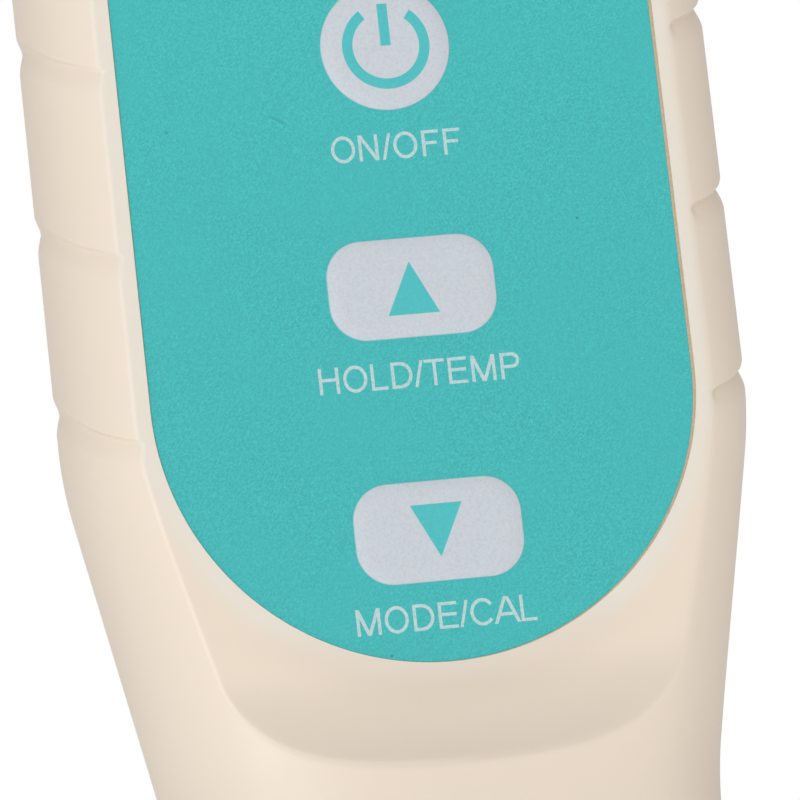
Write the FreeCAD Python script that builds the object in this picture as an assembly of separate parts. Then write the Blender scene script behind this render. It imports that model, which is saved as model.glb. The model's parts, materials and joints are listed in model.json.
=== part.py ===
"""A hand-held water quality tester, modelled upright and in millimetres.

X runs to the right, Y from the display side to the back, and Z up the long axis. The origin is on the
probe's axis, at the foot of the protective cap, which the tester stands on. Each function builds one piece
at rest.
"""

import FreeCAD
import Part
import math
import os

# Heights of the stacked pieces
cap_height = 47.0
collar_height = 13.0
arc_rise = 34.0
label_rise = 58.0
housing_rise = 68.0
battery_cap_rise = 20.0

# Housing cross-section and outline
half_width = 20.55
neck_half_width = 16.3
taper_start_drop = 2.2
taper_end_drop = 23.9
bend_blend = 2.4
station_gap = 1.0
plateau_reach = 11.05
crown_height = 1.9
rear_reach = 13.15
front_power = 3.93
neck_power = 3.0
power_fade = 16.4
rear_power = 2.4
rear_step = 0.1

# Housing walls and the cavity
side_wall = 2.2
front_wall = 1.75
rear_wall = 2.2
bottom_wall = 3.0
top_wall = 2.5
cavity_power = 5.0

# Scooped ends of the flat front
bend_gap = 1.1
scoop_sweep = 60.0
scoop_radius = 7.5

# Grip grooves
groove_count = 6
groove_pitch = 11.05
groove_drop = 2.95
groove_width = 1.6
groove_low_flank = 1.1
groove_depth = 0.38
groove_rake = 0.35
groove_fade = 0.05

# Front label film and its recess
label_half_width = 16.0
label_top_corner = 9.0
label_recess = 0.35
film_thickness = 0.25
label_gap = 0.12

# Display
window_width = 23.5
window_height = 18.5
window_corner = 1.5
window_drop = 17.0
lens_rim = 1.2
lens_thickness = 1.0
lens_gap = 0.05
glass_width = 28.0
glass_height = 24.0
glass_thickness = 1.8
lcd_frame_wall = 1.5
lcd_gap = 0.1
strip_width = 1.6
strip_inset = 1.2

# Keys, measured up the label from the centre of its round end
power_key_rise = 20.5
up_key_rise = 6.05
down_key_drop = 8.35
power_key_radius = 3.88
key_width = 10.0
key_height = 6.0
key_corner = 2.2
key_dome = 0.4
key_dome_edge = 0.28
key_travel = 0.35
key_clearance = 0.04
key_pocket_margin = 0.3
key_pocket_depth = 0.55
stem_radius = 2.2
stem_clearance = 0.15
switch_width = 4.6
switch_height = 2.0
plunger_radius = 1.0
plunger_clearance = 0.08
plunger_stand = 0.75
plunger_root = 0.6
plunger_spare = 0.1

# Main board
board_thickness = 1.2
board_gap = 3.2
board_half_width = 15.5
board_foot_half_width = 12.5
board_low_drop = 19.5
board_step_drop = 8.0
board_top_rise = 56.0
chip_size = 9.0
chip_thickness = 1.2
chip_stand = 0.1
leg_count = 8
leg_reach = 1.0
leg_overlap = 0.1
leg_half_width = 0.2
leg_thickness = 0.35
part_size = 2.4
part_places = [(-8.5, 18.0), (8.5, 18.0), (-9.5, -4.0), (9.5, -4.0), (-8.5, 34.0), (8.5, 30.0)]
crystal_rise = 34.0

# Screws and their posts
post_radius = 2.6
sleeve_radius = 3.3
low_post_x = 11.3
low_post_drop = 23.5
high_post_x = 15.0
high_post_drop = 6.5
shell_screw_radius = 1.1
shell_screw_grip = 4.8
shell_head_radius = 2.2
shell_head_height = 1.6
counterbore_radius = 2.5
sleeve_floor = 4.5
drive_slot = 0.55
drive_reach = 0.6
pilot_spare = 0.5
standoff_radius = 2.0
board_screw_spare = 0.4
standoff_x = 12.6
standoff_low_drop = 1.0
standoff_high_rise = 25.0
board_screw_radius = 0.8
board_head_radius = 1.6
board_head_height = 1.0

# Gasket between the shells
gasket_inset = 0.8
gasket_width = 0.7
gasket_height = 0.6
gasket_play = 0.05

# Battery compartment
cell_radius = 5.8
cell_height = 5.4
cell_count = 4
cell_gap = 0.2
cell_edge = 0.35
cell_shoulder_drop = 0.9
cell_cap_drop = 0.6
cell_cap_inset = 0.7
cell_play = 0.02
cell_sink = 2.4
tube_wall = 1.4
tube_axis_y = 3.1
tube_floor = 1.5
spigot_wall = 2.6
spigot_height = 9.0
tube_flange = 2.1
tube_flange_height = 2.1
tube_edge = 0.6
flange_play = 0.35
oring_rise = 0.42
spring_height = 5.3
spring_width = 4.0
spring_inset = 1.2
strip_half_width = 1.5
strip_thickness = 0.3
strip_fall = 4.0
strip_lap = 2.0
fit_gap = 0.1
oring_section = 0.6
oring_play = 0.05
oring_stand = 0.1
groove_play = 0.02

# Battery cap and its lanyard eye
cap_bore_play = 0.15
seam_gap = 0.15
eye_radius = 4.6
eye_hole_radius = 2.0
eye_thickness = 4.0
eye_rise = 22.2
contact_thickness = 0.4
top_gap = 0.4
contact_gap = 0.1
contact_inset = 0.9
contact_seat_radius = 2.0
cap_draw_depth = 0.8
cap_draws = [
    (0.0, 0.0),
    (0.3, 0.15),
    (0.55, 0.5),
    (0.75, 1.3),
    (0.88, 2.6),
    (0.96, 4.3),
    (1.0, 6.2),
]

# Probe socket and collar
bore_radius = 8.2
spigot_neck_radius = 9.6
thread_radius = 12.2
socket_drop = 8.6
socket_depth = 14.0
socket_flange_radius = 11.2
socket_flange_height = 2.9
pin_radius = 0.5
pin_count = 6
pin_circle = 4.6
pin_engagement = 5.0
pin_spare = 1.0
pin_play = 0.15
pin_stand = 1.6
socket_board_radius = 8.0
socket_board_rise = 2.0
socket_board_thickness = 1.2
ribbon_width = 10.0
ribbon_thickness = 0.3
ribbon_stand = 2.5
ribbon_bend_rise = 3.0
ribbon_bend_half = 1.5
ribbon_lap = 4.0
collar_radius = 14.0
collar_rib = 0.35
collar_rib_count = 28
collar_rib_half_width = 0.55
collar_lip = 1.9
collar_play = 0.15
collar_edge = 0.9
collar_rib_root = 0.3
collar_hole_play = 0.3

# Probe
stem_outer_radius = 9.0
plug_play = 0.2
plug_gap = 2.0
plug_edge = 0.5
flange_radius = 11.8
flange_height = 2.4
probe_clear = 12.0
guard_height = 14.0
guard_wall = 1.4
guard_slots = 4
guard_slot_width = 5.0
guard_ring = 2.2
guard_edge = 0.5
guard_play = 0.05
sensor_root = 4.0
sensor_depth = 8.0
bulb_radius = 3.1
bulb_neck_radius = 2.6
bulb_rise = 4.2
bulb_x = -2.9
rod_radius = 1.5
rod_x = 3.7
rod_y = 3.3
rod_reach = 6.8
contact_radius = 0.85
contact_reach = 5.5
junction_radius = 1.3
junction_stand = 0.4
junction_place = (-0.9, 5.2)
contact_places = [(3.1, -4.2), (5.5, -1.2)]

# Protective cap
cap_foot_radius = 12.4
cap_mouth_radius = 11.9
cap_bore_radius = 9.7
cap_floor = 2.2
cap_edge = 1.0
cap_grip_height = 8.0
cap_grip_grooves = 3
cap_groove_rise = 6.0
cap_groove_radius = 0.7
cap_groove_stand = 0.35
cap_ring_drop = 5.0
sponge_height = 3.8
sponge_play = 0.05

# Heights worked out from the stack
housing_z = cap_height + collar_height
arc_z = housing_z + arc_rise
label_top_z = arc_z + label_rise
housing_top_z = arc_z + housing_rise
battery_cap_top_z = housing_top_z + battery_cap_rise

# Depths worked out from the cross-section: the neck is centred on the probe's axis
front_reach = plateau_reach + crown_height
joint_y = (front_reach - rear_reach) / 2.0
plateau_y = joint_y - plateau_reach
recess_y = plateau_y + label_recess
film_top_y = recess_y - film_thickness
inner_front_y = recess_y + front_wall
cavity_front_reach = joint_y - inner_front_y
cavity_rear_reach = rear_reach - rear_wall
board_front_y = inner_front_y + board_gap
board_rear_y = board_front_y + board_thickness
window_z = label_top_z - window_drop


def vec(x, y, z):
    return FreeCAD.Vector(x, y, z)


def box(low, high):
    """A block between two corners."""
    size = [h - l for l, h in zip(low, high)]
    return Part.makeBox(*size, vec(*low))


def rod_y_axis(x, z, y_from, y_to, radius):
    """A round bar along Y."""
    return Part.makeCylinder(radius, y_to - y_from, vec(x, y_from, z), vec(0, 1, 0))


def rod_z_axis(x, y, z_from, z_to, radius):
    """A round bar along Z."""
    return Part.makeCylinder(radius, z_to - z_from, vec(x, y, z_from), vec(0, 0, 1))


def turned(profile, x=0.0, y=0.0):
    """A solid of revolution about a vertical axis, from (radius, height) corners."""
    points = [vec(x + r, y, z) for r, z in profile]
    face = Part.Face(Part.makePolygon(points + points[:1]))
    return face.revolve(vec(x, y, 0), vec(0, 0, 1), 360)


def ring(radius, section, z, x=0.0, y=0.0):
    """An O-ring lying level, given its centre-line radius and its section radius."""
    return Part.makeTorus(radius, section, vec(x, y, z), vec(0, 0, 1))


def pad_prism(x, z, width, height, corner, y_from, y_to):
    """A rounded rectangle in the XZ plane, given thickness along Y."""
    hx, hz, r = width / 2.0, height / 2.0, corner
    q = r * math.sqrt(0.5)
    edges = []
    corners = [(1, 1), (-1, 1), (-1, -1), (1, -1)]
    for i, (sx, sz) in enumerate(corners):
        cx, cz = x + sx * (hx - r), z + sz * (hz - r)
        ends = [vec(cx + sx * r, y_from, cz), vec(cx, y_from, cz + sz * r)]
        if i % 2:
            ends.reverse()
        middle = vec(cx + sx * q, y_from, cz + sz * q)
        edges.append(Part.Arc(ends[0], middle, ends[1]).toShape())
        nx, nz = corners[(i + 1) % 4]
        far_x, far_z = x + nx * (hx - r), z + nz * (hz - r)
        after = vec(far_x, y_from, z + nz * hz) if i % 2 == 0 else vec(x + nx * hx, y_from, far_z)
        edges.append(Part.LineSegment(ends[1], after).toShape())
    return Part.Face(Part.Wire(edges)).extrude(vec(0, y_to - y_from, 0))


def outline_half_width(z):
    """Half the housing's width at a height: a straight taper from grips to neck, with eased bends."""
    high = arc_z - taper_start_drop
    low = arc_z - taper_end_drop
    slope = (half_width - neck_half_width) / (high - low)

    def eased(distance):
        """Zero below the bend and the distance above it, joined by a parabola."""
        if distance <= -bend_blend:
            return 0.0
        if distance >= bend_blend:
            return distance
        return (distance + bend_blend) ** 2 / (4.0 * bend_blend)

    return neck_half_width + slope * (eased(z - low) - eased(z - high))


def outline_power(z):
    """How square the front of the cross-section is: squarer at the grips, rounder at the neck."""
    start = arc_z - taper_start_drop
    share = min(max((start - z) / power_fade, 0.0), 1.0)
    share = share * share * (3.0 - 2.0 * share)
    return front_power + (neck_power - front_power) * share


def arch_wire(z, width, reach, power, side, rake=0.0):
    """Half a cross-section: an arch of two cubic curves off the joint plane, closed by its chord.

    The handles make each curve pass through the middle of a superellipse's quarter with the given power.
    A rake tilts the section's plane.
    """
    handle = (8.0 * 0.5 ** (1.0 / power) - 4.0) / 3.0

    def pole(across, outward):
        y = joint_y + side * reach * outward
        return vec(width * across, y, z + rake * (y - plateau_y))

    right = [pole(1, 0), pole(1, handle), pole(handle, 1), pole(0, 1)]
    left = [pole(0, 1), pole(-handle, 1), pole(-1, handle), pole(-1, 0)]
    edges = []
    for poles in (right, left):
        curve = Part.BezierCurve()
        curve.setPoles(poles)
        edges.append(curve.toShape())
    edges.append(Part.LineSegment(left[-1], right[0]).toShape())
    return Part.Wire(edges)


def outline_stations(low, high):
    """Heights where the housing's sections stand: close together round the two bends."""
    bends = [arc_z - taper_end_drop, arc_z - taper_start_drop]
    middle = sum(bends) / 2.0
    near = [b + bend_blend * s for b in bends for s in (-2.0, -1.0, -0.5, 0.0, 0.5, 1.0, 2.0)]
    near += [middle, bends[0] - 4 * bend_blend, bends[1] + 4 * bend_blend, arc_z + label_rise / 2.0]
    inside = sorted(z for z in near if low + station_gap < z < high - station_gap)
    return [low] + inside + [high]


def housing_half(low, high, side, inset, reach, power):
    """One half of the housing's form as a solid, drawn in by inset at the sides."""
    wires = []
    for z in outline_stations(low, high):
        n = power if power else outline_power(z)
        wires.append(arch_wire(z, outline_half_width(z) - inset, reach, n, side))
    return Part.makeLoft(wires, True, True)


def scoop_tool():
    """What the flat front takes off the crowned housing: a flat floor whose two ends rise on arcs."""
    low_z = arc_z - label_half_width - bend_gap
    high_z = label_top_z + bend_gap
    outside_y = plateau_y - 3.0 * front_reach

    def on_arc(bend_z, side, turn):
        """A point on the arc that leaves the flat floor at a bend, after a turn in degrees."""
        angle = math.radians(turn)
        rise = scoop_radius * (1.0 - math.cos(angle))
        return vec(0, plateau_y - rise, bend_z + side * scoop_radius * math.sin(angle))

    low_bend, low_half, low_end = [on_arc(low_z, -1, scoop_sweep * k) for k in (0.0, 0.5, 1.0)]
    high_bend, high_half, high_end = [on_arc(high_z, 1, scoop_sweep * k) for k in (0.0, 0.5, 1.0)]
    high_out, low_out = vec(0, outside_y, high_end.z), vec(0, outside_y, low_end.z)
    edges = [
        Part.Arc(low_end, low_half, low_bend).toShape(),
        Part.LineSegment(low_bend, high_bend).toShape(),
        Part.Arc(high_bend, high_half, high_end).toShape(),
        Part.LineSegment(high_end, high_out).toShape(),
        Part.LineSegment(high_out, low_out).toShape(),
        Part.LineSegment(low_out, low_end).toShape(),
    ]
    tool = Part.Face(Part.Wire(edges)).extrude(vec(4.0 * half_width, 0, 0))
    tool.translate(vec(-2.0 * half_width, 0, 0))
    return tool


def groove_tools(side):
    """Raked V grooves round one shell's sides, which fade out towards the middle of its face."""
    tools = []
    reach, power = (front_reach, front_power) if side < 0 else (rear_reach, rear_power)
    far = 2.0 * half_width
    far_y = joint_y + side * far
    for i in range(groove_count):
        z = arc_z - groove_drop + i * groove_pitch
        low, high = [z + groove_rake * (y - plateau_y) for y in (joint_y, far_y)]
        corners = [
            (joint_y, low),
            (far_y, high),
            (far_y, high + groove_width),
            (joint_y, low + groove_width),
        ]
        points = [vec(-far, y, h) for y, h in corners]
        slab = Part.Face(Part.makePolygon(points + points[:1])).extrude(vec(2.0 * far, 0, 0))
        heights = [(z, 0.0), (z + groove_low_flank, groove_depth), (z + groove_width, 0.0)]
        wires = [
            arch_wire(h, half_width - d, reach + groove_fade, power, side, groove_rake)
            for h, d in heights
        ]
        tools.append(slab.cut(Part.makeLoft(wires, True, True)))
    return tools


def label_face_prism(gap, y_from, y_to):
    """The label's outline, round at the foot and with rounded top corners, given thickness along Y."""
    hw = label_half_width + gap
    top = label_top_z + gap
    r = label_top_corner + gap
    q = r * math.sqrt(0.5)
    foot = Part.Arc(vec(-hw, y_from, arc_z), vec(0, y_from, arc_z - hw), vec(hw, y_from, arc_z))
    right = Part.Arc(
        vec(hw, y_from, top - r), vec(hw - r + q, y_from, top - r + q), vec(hw - r, y_from, top)
    )
    left = Part.Arc(
        vec(r - hw, y_from, top), vec(r - hw - q, y_from, top - r + q), vec(-hw, y_from, top - r)
    )
    edges = [
        foot.toShape(),
        Part.LineSegment(vec(hw, y_from, arc_z), vec(hw, y_from, top - r)).toShape(),
        right.toShape(),
        Part.LineSegment(vec(hw - r, y_from, top), vec(r - hw, y_from, top)).toShape(),
        left.toShape(),
        Part.LineSegment(vec(-hw, y_from, top - r), vec(-hw, y_from, arc_z)).toShape(),
    ]
    return Part.Face(Part.Wire(edges)).extrude(vec(0, y_to - y_from, 0))


def key_prism(name, margin, y_from, y_to):
    """A key's outline grown by a margin, given thickness along Y."""
    z = key_heights[name]
    if name == "power":
        return rod_y_axis(0, z, y_from, y_to, power_key_radius + margin)
    width, height = key_width + 2 * margin, key_height + 2 * margin
    return pad_prism(0, z, width, height, key_corner + margin, y_from, y_to)


key_heights = {
    "power": arc_z + power_key_rise,
    "up": arc_z + up_key_rise,
    "down": arc_z - down_key_drop,
}
post_places = [
    (side * x, z)
    for side in (-1, 1)
    for x, z in (
        (low_post_x, arc_z - low_post_drop),
        (high_post_x, housing_top_z - high_post_drop),
    )
]
standoff_places = [
    (side * standoff_x, z)
    for side in (-1, 1)
    for z in (arc_z - standoff_low_drop, arc_z + standoff_high_rise)
]
cavity_low_z = housing_z + bottom_wall
cavity_high_z = housing_top_z - top_wall
tube_radius = cell_radius + cell_gap + tube_wall
spigot_radius = cell_radius + cell_gap + spigot_wall
screw_floor_y = joint_y + sleeve_floor


def end_bores():
    """The round holes in the housing's two end walls, for the probe socket and the battery tube."""
    over = 1.0
    low = rod_z_axis(0, 0, housing_z - over, cavity_low_z + over, spigot_neck_radius + fit_gap)
    high = rod_z_axis(
        0, tube_axis_y, cavity_high_z - over, housing_top_z + over, tube_radius + fit_gap
    )
    return [low, high]


def front_shell():
    """The display half: scooped flat front, label recess, window, key holes, posts and half the grips."""
    form = housing_half(housing_z, housing_top_z, -1, 0.0, front_reach, None)
    form = form.cut(scoop_tool())
    cavity = housing_half(
        cavity_low_z, cavity_high_z, -1, side_wall, cavity_front_reach, cavity_power
    )
    shell = form.cut(cavity)
    additions = []
    root_y = inner_front_y - front_wall / 2.0
    for x, z in post_places:
        additions.append(rod_y_axis(x, z, root_y, joint_y, post_radius).common(form))
    for x, z in standoff_places:
        additions.append(rod_y_axis(x, z, root_y, board_front_y, standoff_radius))
    shell = shell.fuse(additions)
    cuts = [label_face_prism(label_gap, plateau_y - front_reach, recess_y)]
    lens_y = recess_y + lens_thickness
    cuts.append(
        pad_prism(
            0,
            window_z,
            window_width + 2 * (lens_rim + lens_gap),
            window_height + 2 * (lens_rim + lens_gap),
            window_corner + lens_gap,
            recess_y,
            lens_y,
        )
    )
    cuts.append(
        pad_prism(0, window_z, window_width, window_height, window_corner, recess_y, joint_y)
    )
    for name in key_heights:
        cuts.append(key_prism(name, key_pocket_margin, recess_y, recess_y + key_pocket_depth))
        cuts.append(
            rod_y_axis(0, key_heights[name], recess_y, joint_y, stem_radius + stem_clearance)
        )
    frame_x = glass_width / 2.0 + 2 * lcd_gap + lcd_frame_wall
    frame_z = glass_height / 2.0 + 2 * lcd_gap + lcd_frame_wall
    cuts.append(
        box((-frame_x, inner_front_y, window_z - frame_z), (frame_x, joint_y, window_z + frame_z))
    )
    for x, z in post_places:
        cuts.append(rod_y_axis(x, z, joint_y - shell_screw_grip - pilot_spare, joint_y, shell_screw_radius))
    for x, z in standoff_places:
        cuts.append(rod_y_axis(x, z, inner_front_y, board_front_y, board_screw_radius))
    return shell.cut(cuts + end_bores()).cut(groove_tools(-1))


def joint_outline(inset, y):
    """The housing's outline on the joint plane, drawn in by inset, as a flat face."""
    low, high = housing_z + inset, housing_top_z - inset
    side = [vec(outline_half_width(z) - inset, y, z) for z in outline_stations(low, high)]
    right = Part.BSplineCurve()
    right.interpolate(Points=side, InitialTangent=vec(0, 0, 1), FinalTangent=vec(0, 0, 1))
    mirrored = [vec(-p.x, p.y, p.z) for p in reversed(side)]
    left = Part.BSplineCurve()
    left.interpolate(Points=mirrored, InitialTangent=vec(0, 0, -1), FinalTangent=vec(0, 0, -1))
    edges = [
        right.toShape(),
        Part.LineSegment(side[-1], mirrored[0]).toShape(),
        left.toShape(),
        Part.LineSegment(mirrored[-1], side[0]).toShape(),
    ]
    return Part.Face(Part.Wire(edges))


def gasket_ring(play):
    """The seal's closed loop along the joint, or its groove when given play."""
    outer = joint_outline(gasket_inset - play, joint_y)
    inner = joint_outline(gasket_inset + gasket_width + play, joint_y)
    return outer.cut(inner).extrude(vec(0, gasket_height + play, 0))


def shell_gasket():
    """The rubber seal between the shells, broken where the end bores cross the joint."""
    return gasket_ring(0.0).cut(end_bores())


def rear_shell():
    """The back half, with its screw sleeves and the groove that holds the seal."""
    step = rear_step
    form = housing_half(housing_z, housing_top_z, 1, step, rear_reach, rear_power)
    cavity = housing_half(
        cavity_low_z, cavity_high_z, 1, side_wall, cavity_rear_reach, rear_power
    )
    shell = form.cut(cavity)
    sleeves = []
    for x, z in post_places:
        blank = rod_y_axis(x, z, joint_y, joint_y + rear_reach, sleeve_radius)
        sleeves.append(blank.common(form))
    shell = shell.fuse(sleeves)
    cuts = [gasket_ring(gasket_play)]
    for x, z in post_places:
        cuts.append(rod_y_axis(x, z, joint_y, screw_floor_y, shell_screw_radius + fit_gap))
        cuts.append(
            rod_y_axis(x, z, screw_floor_y, joint_y + rear_reach + 1.0, counterbore_radius)
        )
    return shell.cut(cuts + end_bores()).cut(groove_tools(1))


def screws(places, head_y, head_radius, head_height, shank_radius, shank_length):
    """Cheese-head screws put in from the back, with a cross recess, as separate solids."""
    made = []
    for x, z in places:
        screw = rod_y_axis(x, z, head_y, head_y + head_height, head_radius)
        screw = screw.fuse(rod_y_axis(x, z, head_y - shank_length, head_y, shank_radius))
        half, deep = head_radius * drive_reach, head_y + head_height / 2.0
        top = head_y + head_height
        for wide, tall in ((half, drive_slot / 2.0), (drive_slot / 2.0, half)):
            screw = screw.cut(box((x - wide, deep, z - tall), (x + wide, top, z + tall)))
        made.append(screw)
    return Part.makeCompound(made)


def shell_screws():
    length = sleeve_floor + shell_screw_grip
    return screws(
        post_places, screw_floor_y, shell_head_radius, shell_head_height, shell_screw_radius, length
    )


def board_screws():
    length = board_thickness + board_gap - board_screw_spare
    return screws(
        standoff_places,
        board_rear_y,
        board_head_radius,
        board_head_height,
        board_screw_radius,
        length,
    )


def front_overlay():
    """The printed film, with openings for the window and the keys."""
    film = label_face_prism(0.0, film_top_y, recess_y)
    cuts = [
        pad_prism(0, window_z, window_width, window_height, window_corner, film_top_y, recess_y)
    ]
    for name in key_heights:
        cuts.append(key_prism(name, key_clearance, film_top_y, recess_y))
    return film.cut(cuts)


def display_window():
    """The clear lens in its rebate under the film."""
    width, height = window_width + 2 * lens_rim, window_height + 2 * lens_rim
    return pad_prism(
        0, window_z, width, height, window_corner, recess_y, recess_y + lens_thickness
    )


def lcd_glass():
    low_y = inner_front_y + lcd_gap
    hw, hh = glass_width / 2.0, glass_height / 2.0
    return box((-hw, low_y, window_z - hh), (hw, low_y + glass_thickness, window_z + hh))


def lcd_frame():
    """The frame that holds the display glass against the front and stands on the board."""
    hw, hh = glass_width / 2.0 + lcd_gap, glass_height / 2.0 + lcd_gap
    wall = lcd_frame_wall
    low_y = inner_front_y + lcd_gap
    blank = box(
        (-hw - wall, low_y, window_z - hh - wall), (hw + wall, board_front_y, window_z + hh + wall)
    )
    return blank.cut(box((-hw, low_y, window_z - hh), (hw, board_front_y, window_z + hh)))


def lcd_connectors():
    """Two elastomer strips that carry the display's lines from the glass to the board."""
    low_y = inner_front_y + lcd_gap + glass_thickness
    hw = glass_width / 2.0 - strip_inset
    strips = []
    for side in (-1, 1):
        z = window_z + side * (glass_height / 2.0 - strip_inset - strip_width / 2.0)
        half = strip_width / 2.0
        strips.append(box((-hw, low_y, z - half), (hw, board_front_y, z + half)))
    return Part.makeCompound(strips)


def main_board():
    """The circuit board, narrowed at its foot to follow the taper, with its screw holes."""
    low_z, step_z = arc_z - board_low_drop, arc_z - board_step_drop
    top_z = arc_z + board_top_rise
    hw, foot = board_half_width, board_foot_half_width
    corners = [
        (-foot, low_z),
        (foot, low_z),
        (foot, step_z - (hw - foot)),
        (hw, step_z),
        (hw, top_z),
        (-hw, top_z),
        (-hw, step_z),
        (-foot, step_z - (hw - foot)),
    ]
    points = [vec(x, board_front_y, z) for x, z in corners]
    face = Part.Face(Part.makePolygon(points + points[:1]))
    board = face.extrude(vec(0, board_thickness, 0))
    holes = [
        rod_y_axis(x, z, board_front_y, board_rear_y, board_screw_radius + fit_gap)
        for x, z in standoff_places
    ]
    return board.cut(holes)


def processor_chip():
    """The processor on the back of the board, with legs along two sides."""
    z = arc_z + up_key_rise
    half = chip_size / 2.0
    chip = box(
        (-half, board_rear_y + chip_stand, z - half), (half, board_rear_y + chip_thickness, z + half)
    )
    legs = []
    leg_top = board_rear_y + leg_thickness
    for i in range(leg_count):
        leg_z = z - half + chip_size * (i + 0.5) / leg_count
        low_z, high_z = leg_z - leg_half_width, leg_z + leg_half_width
        for side in (-1, 1):
            ends = sorted((side * (half - leg_overlap), side * (half + leg_reach)))
            legs.append(box((ends[0], board_rear_y, low_z), (ends[1], leg_top, high_z)))
    return chip.fuse(legs)


def board_parts():
    """Crystal can, capacitors and regulator on the back of the board, as separate solids."""
    size = part_size
    made = []
    for x, rise in part_places:
        z = arc_z + rise
        low = (x - size / 2.0, board_rear_y, z - size)
        made.append(box(low, (x + size / 2.0, board_rear_y + size / 2.0, z + size)))
    can_z = arc_z + crystal_rise
    made.append(rod_y_axis(0, can_z, board_rear_y, board_rear_y + 1.5 * size, size))
    return Part.makeCompound(made)


def switch_body(name):
    """A tactile switch's housing, with the hole that its plunger moves in."""
    z, half = key_heights[name], switch_width / 2.0
    front_y = board_front_y - switch_height
    body = box((-half, front_y, z - half), (half, board_front_y, z + half))
    hole_end = front_y + plunger_root + key_travel + plunger_spare
    hole = rod_y_axis(0, z, front_y, hole_end, plunger_radius + plunger_clearance)
    return body.cut(hole)


def plunger(name):
    """The switch's plunger, which the key's stem rests on."""
    front_y = board_front_y - switch_height
    return rod_y_axis(
        0, key_heights[name], front_y - plunger_stand, front_y + plunger_root, plunger_radius
    )


def key_pad(name):
    """An embossed key: its domed pad stands proud of the film and its stem reaches the switch."""
    top_y = film_top_y - key_dome
    pad = key_prism(name, 0.0, top_y, recess_y)
    top = min(pad.Faces, key=lambda f: f.CenterOfMass.y)
    pad = pad.makeFillet(key_dome_edge, top.Edges)
    tip_y = board_front_y - switch_height - plunger_stand
    return pad.fuse(rod_y_axis(0, key_heights[name], recess_y, tip_y, stem_radius))


def battery_tube():
    """The cell holder: a cup clamped in the top wall, with a spigot that the battery cap covers."""
    floor_z = cell_floor_z() - spring_height - tube_floor
    bore = cell_radius + cell_gap
    flange_low = cavity_high_z - fit_gap - tube_flange_height
    flange_high = cavity_high_z - fit_gap
    shoulder = housing_top_z + fit_gap
    top = housing_top_z + spigot_height
    profile = [
        (0, floor_z),
        (tube_radius, floor_z),
        (tube_radius, flange_low),
        (tube_radius + tube_flange, flange_low),
        (tube_radius + tube_flange, flange_high),
        (tube_radius, flange_high),
        (tube_radius, shoulder),
        (spigot_radius, shoulder),
        (spigot_radius, top - tube_edge),
        (spigot_radius - tube_edge, top),
        (bore, top),
        (bore, floor_z + tube_floor),
        (0, floor_z + tube_floor),
    ]
    tube = turned(profile, 0.0, tube_axis_y)
    limit = joint_y + cavity_rear_reach - flange_play
    reach = 2.0 * half_width
    tube = tube.cut(box((-reach, limit, flange_low), (reach, reach, flange_high)))
    seat = oring_section + groove_play
    groove = ring(tube_ring_radius(), seat, oring_z(), 0.0, tube_axis_y)
    return tube.cut(groove)


def oring_z():
    return housing_top_z + spigot_height * oring_rise


def tube_ring_radius():
    return spigot_radius - oring_section + oring_stand


def battery_tube_oring():
    return ring(tube_ring_radius(), oring_section, oring_z(), 0.0, tube_axis_y)


def cell_floor_z():
    """The height of the lowest cell's underside."""
    return housing_top_z + spigot_height - cell_sink - cell_count * cell_height


def battery_cell(index):
    """One button cell: a can with a smaller raised cap on top."""
    z = cell_floor_z() + index * cell_height
    r, e = cell_radius, cell_edge
    top = z + cell_height
    profile = [
        (0, z),
        (r - e, z),
        (r, z + e),
        (r, top - cell_shoulder_drop),
        (r - cell_cap_inset, top - cell_cap_drop),
        (r - cell_cap_inset, top - cell_play),
        (0, top - cell_play),
    ]
    return turned(profile, 0.0, tube_axis_y)


def battery_spring():
    """The leaf spring under the cells: a strip on the tube's floor that folds up to the lowest cell."""
    floor_z, top_z = cell_floor_z() - spring_height, cell_floor_z() - fit_gap
    t = contact_thickness
    x = cell_radius - spring_inset
    middle = (floor_z + top_z) / 2.0
    outline = [
        (-x, floor_z),
        (x, floor_z),
        (x, floor_z + t),
        (t - x, floor_z + t),
        (x, middle - t),
        (x, middle),
        (-x / 3.0, top_z - t),
        (x / 3.0, top_z - t),
        (x / 3.0, top_z),
        (-x, top_z),
        (-x, top_z - t),
        (x - 2 * t, middle - t / 2.0),
        (-x, floor_z + t),
    ]
    half = spring_width / 2.0
    points = [vec(a, tube_axis_y - half, z) for a, z in outline]
    face = Part.Face(Part.makePolygon(points + points[:1]))
    return face.extrude(vec(0, spring_width, 0))


def battery_contact_strip():
    """The spring strip that joins the tube's foot to the board."""
    z = cell_floor_z() - spring_height - tube_floor - cell_play
    half, t = strip_half_width, strip_thickness
    flat = box((-half, board_rear_y, z - t), (half, tube_axis_y + strip_lap, z))
    tab = box((-half, board_rear_y, z - strip_fall), (half, board_rear_y + t, z))
    return flat.fuse(tab)


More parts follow.
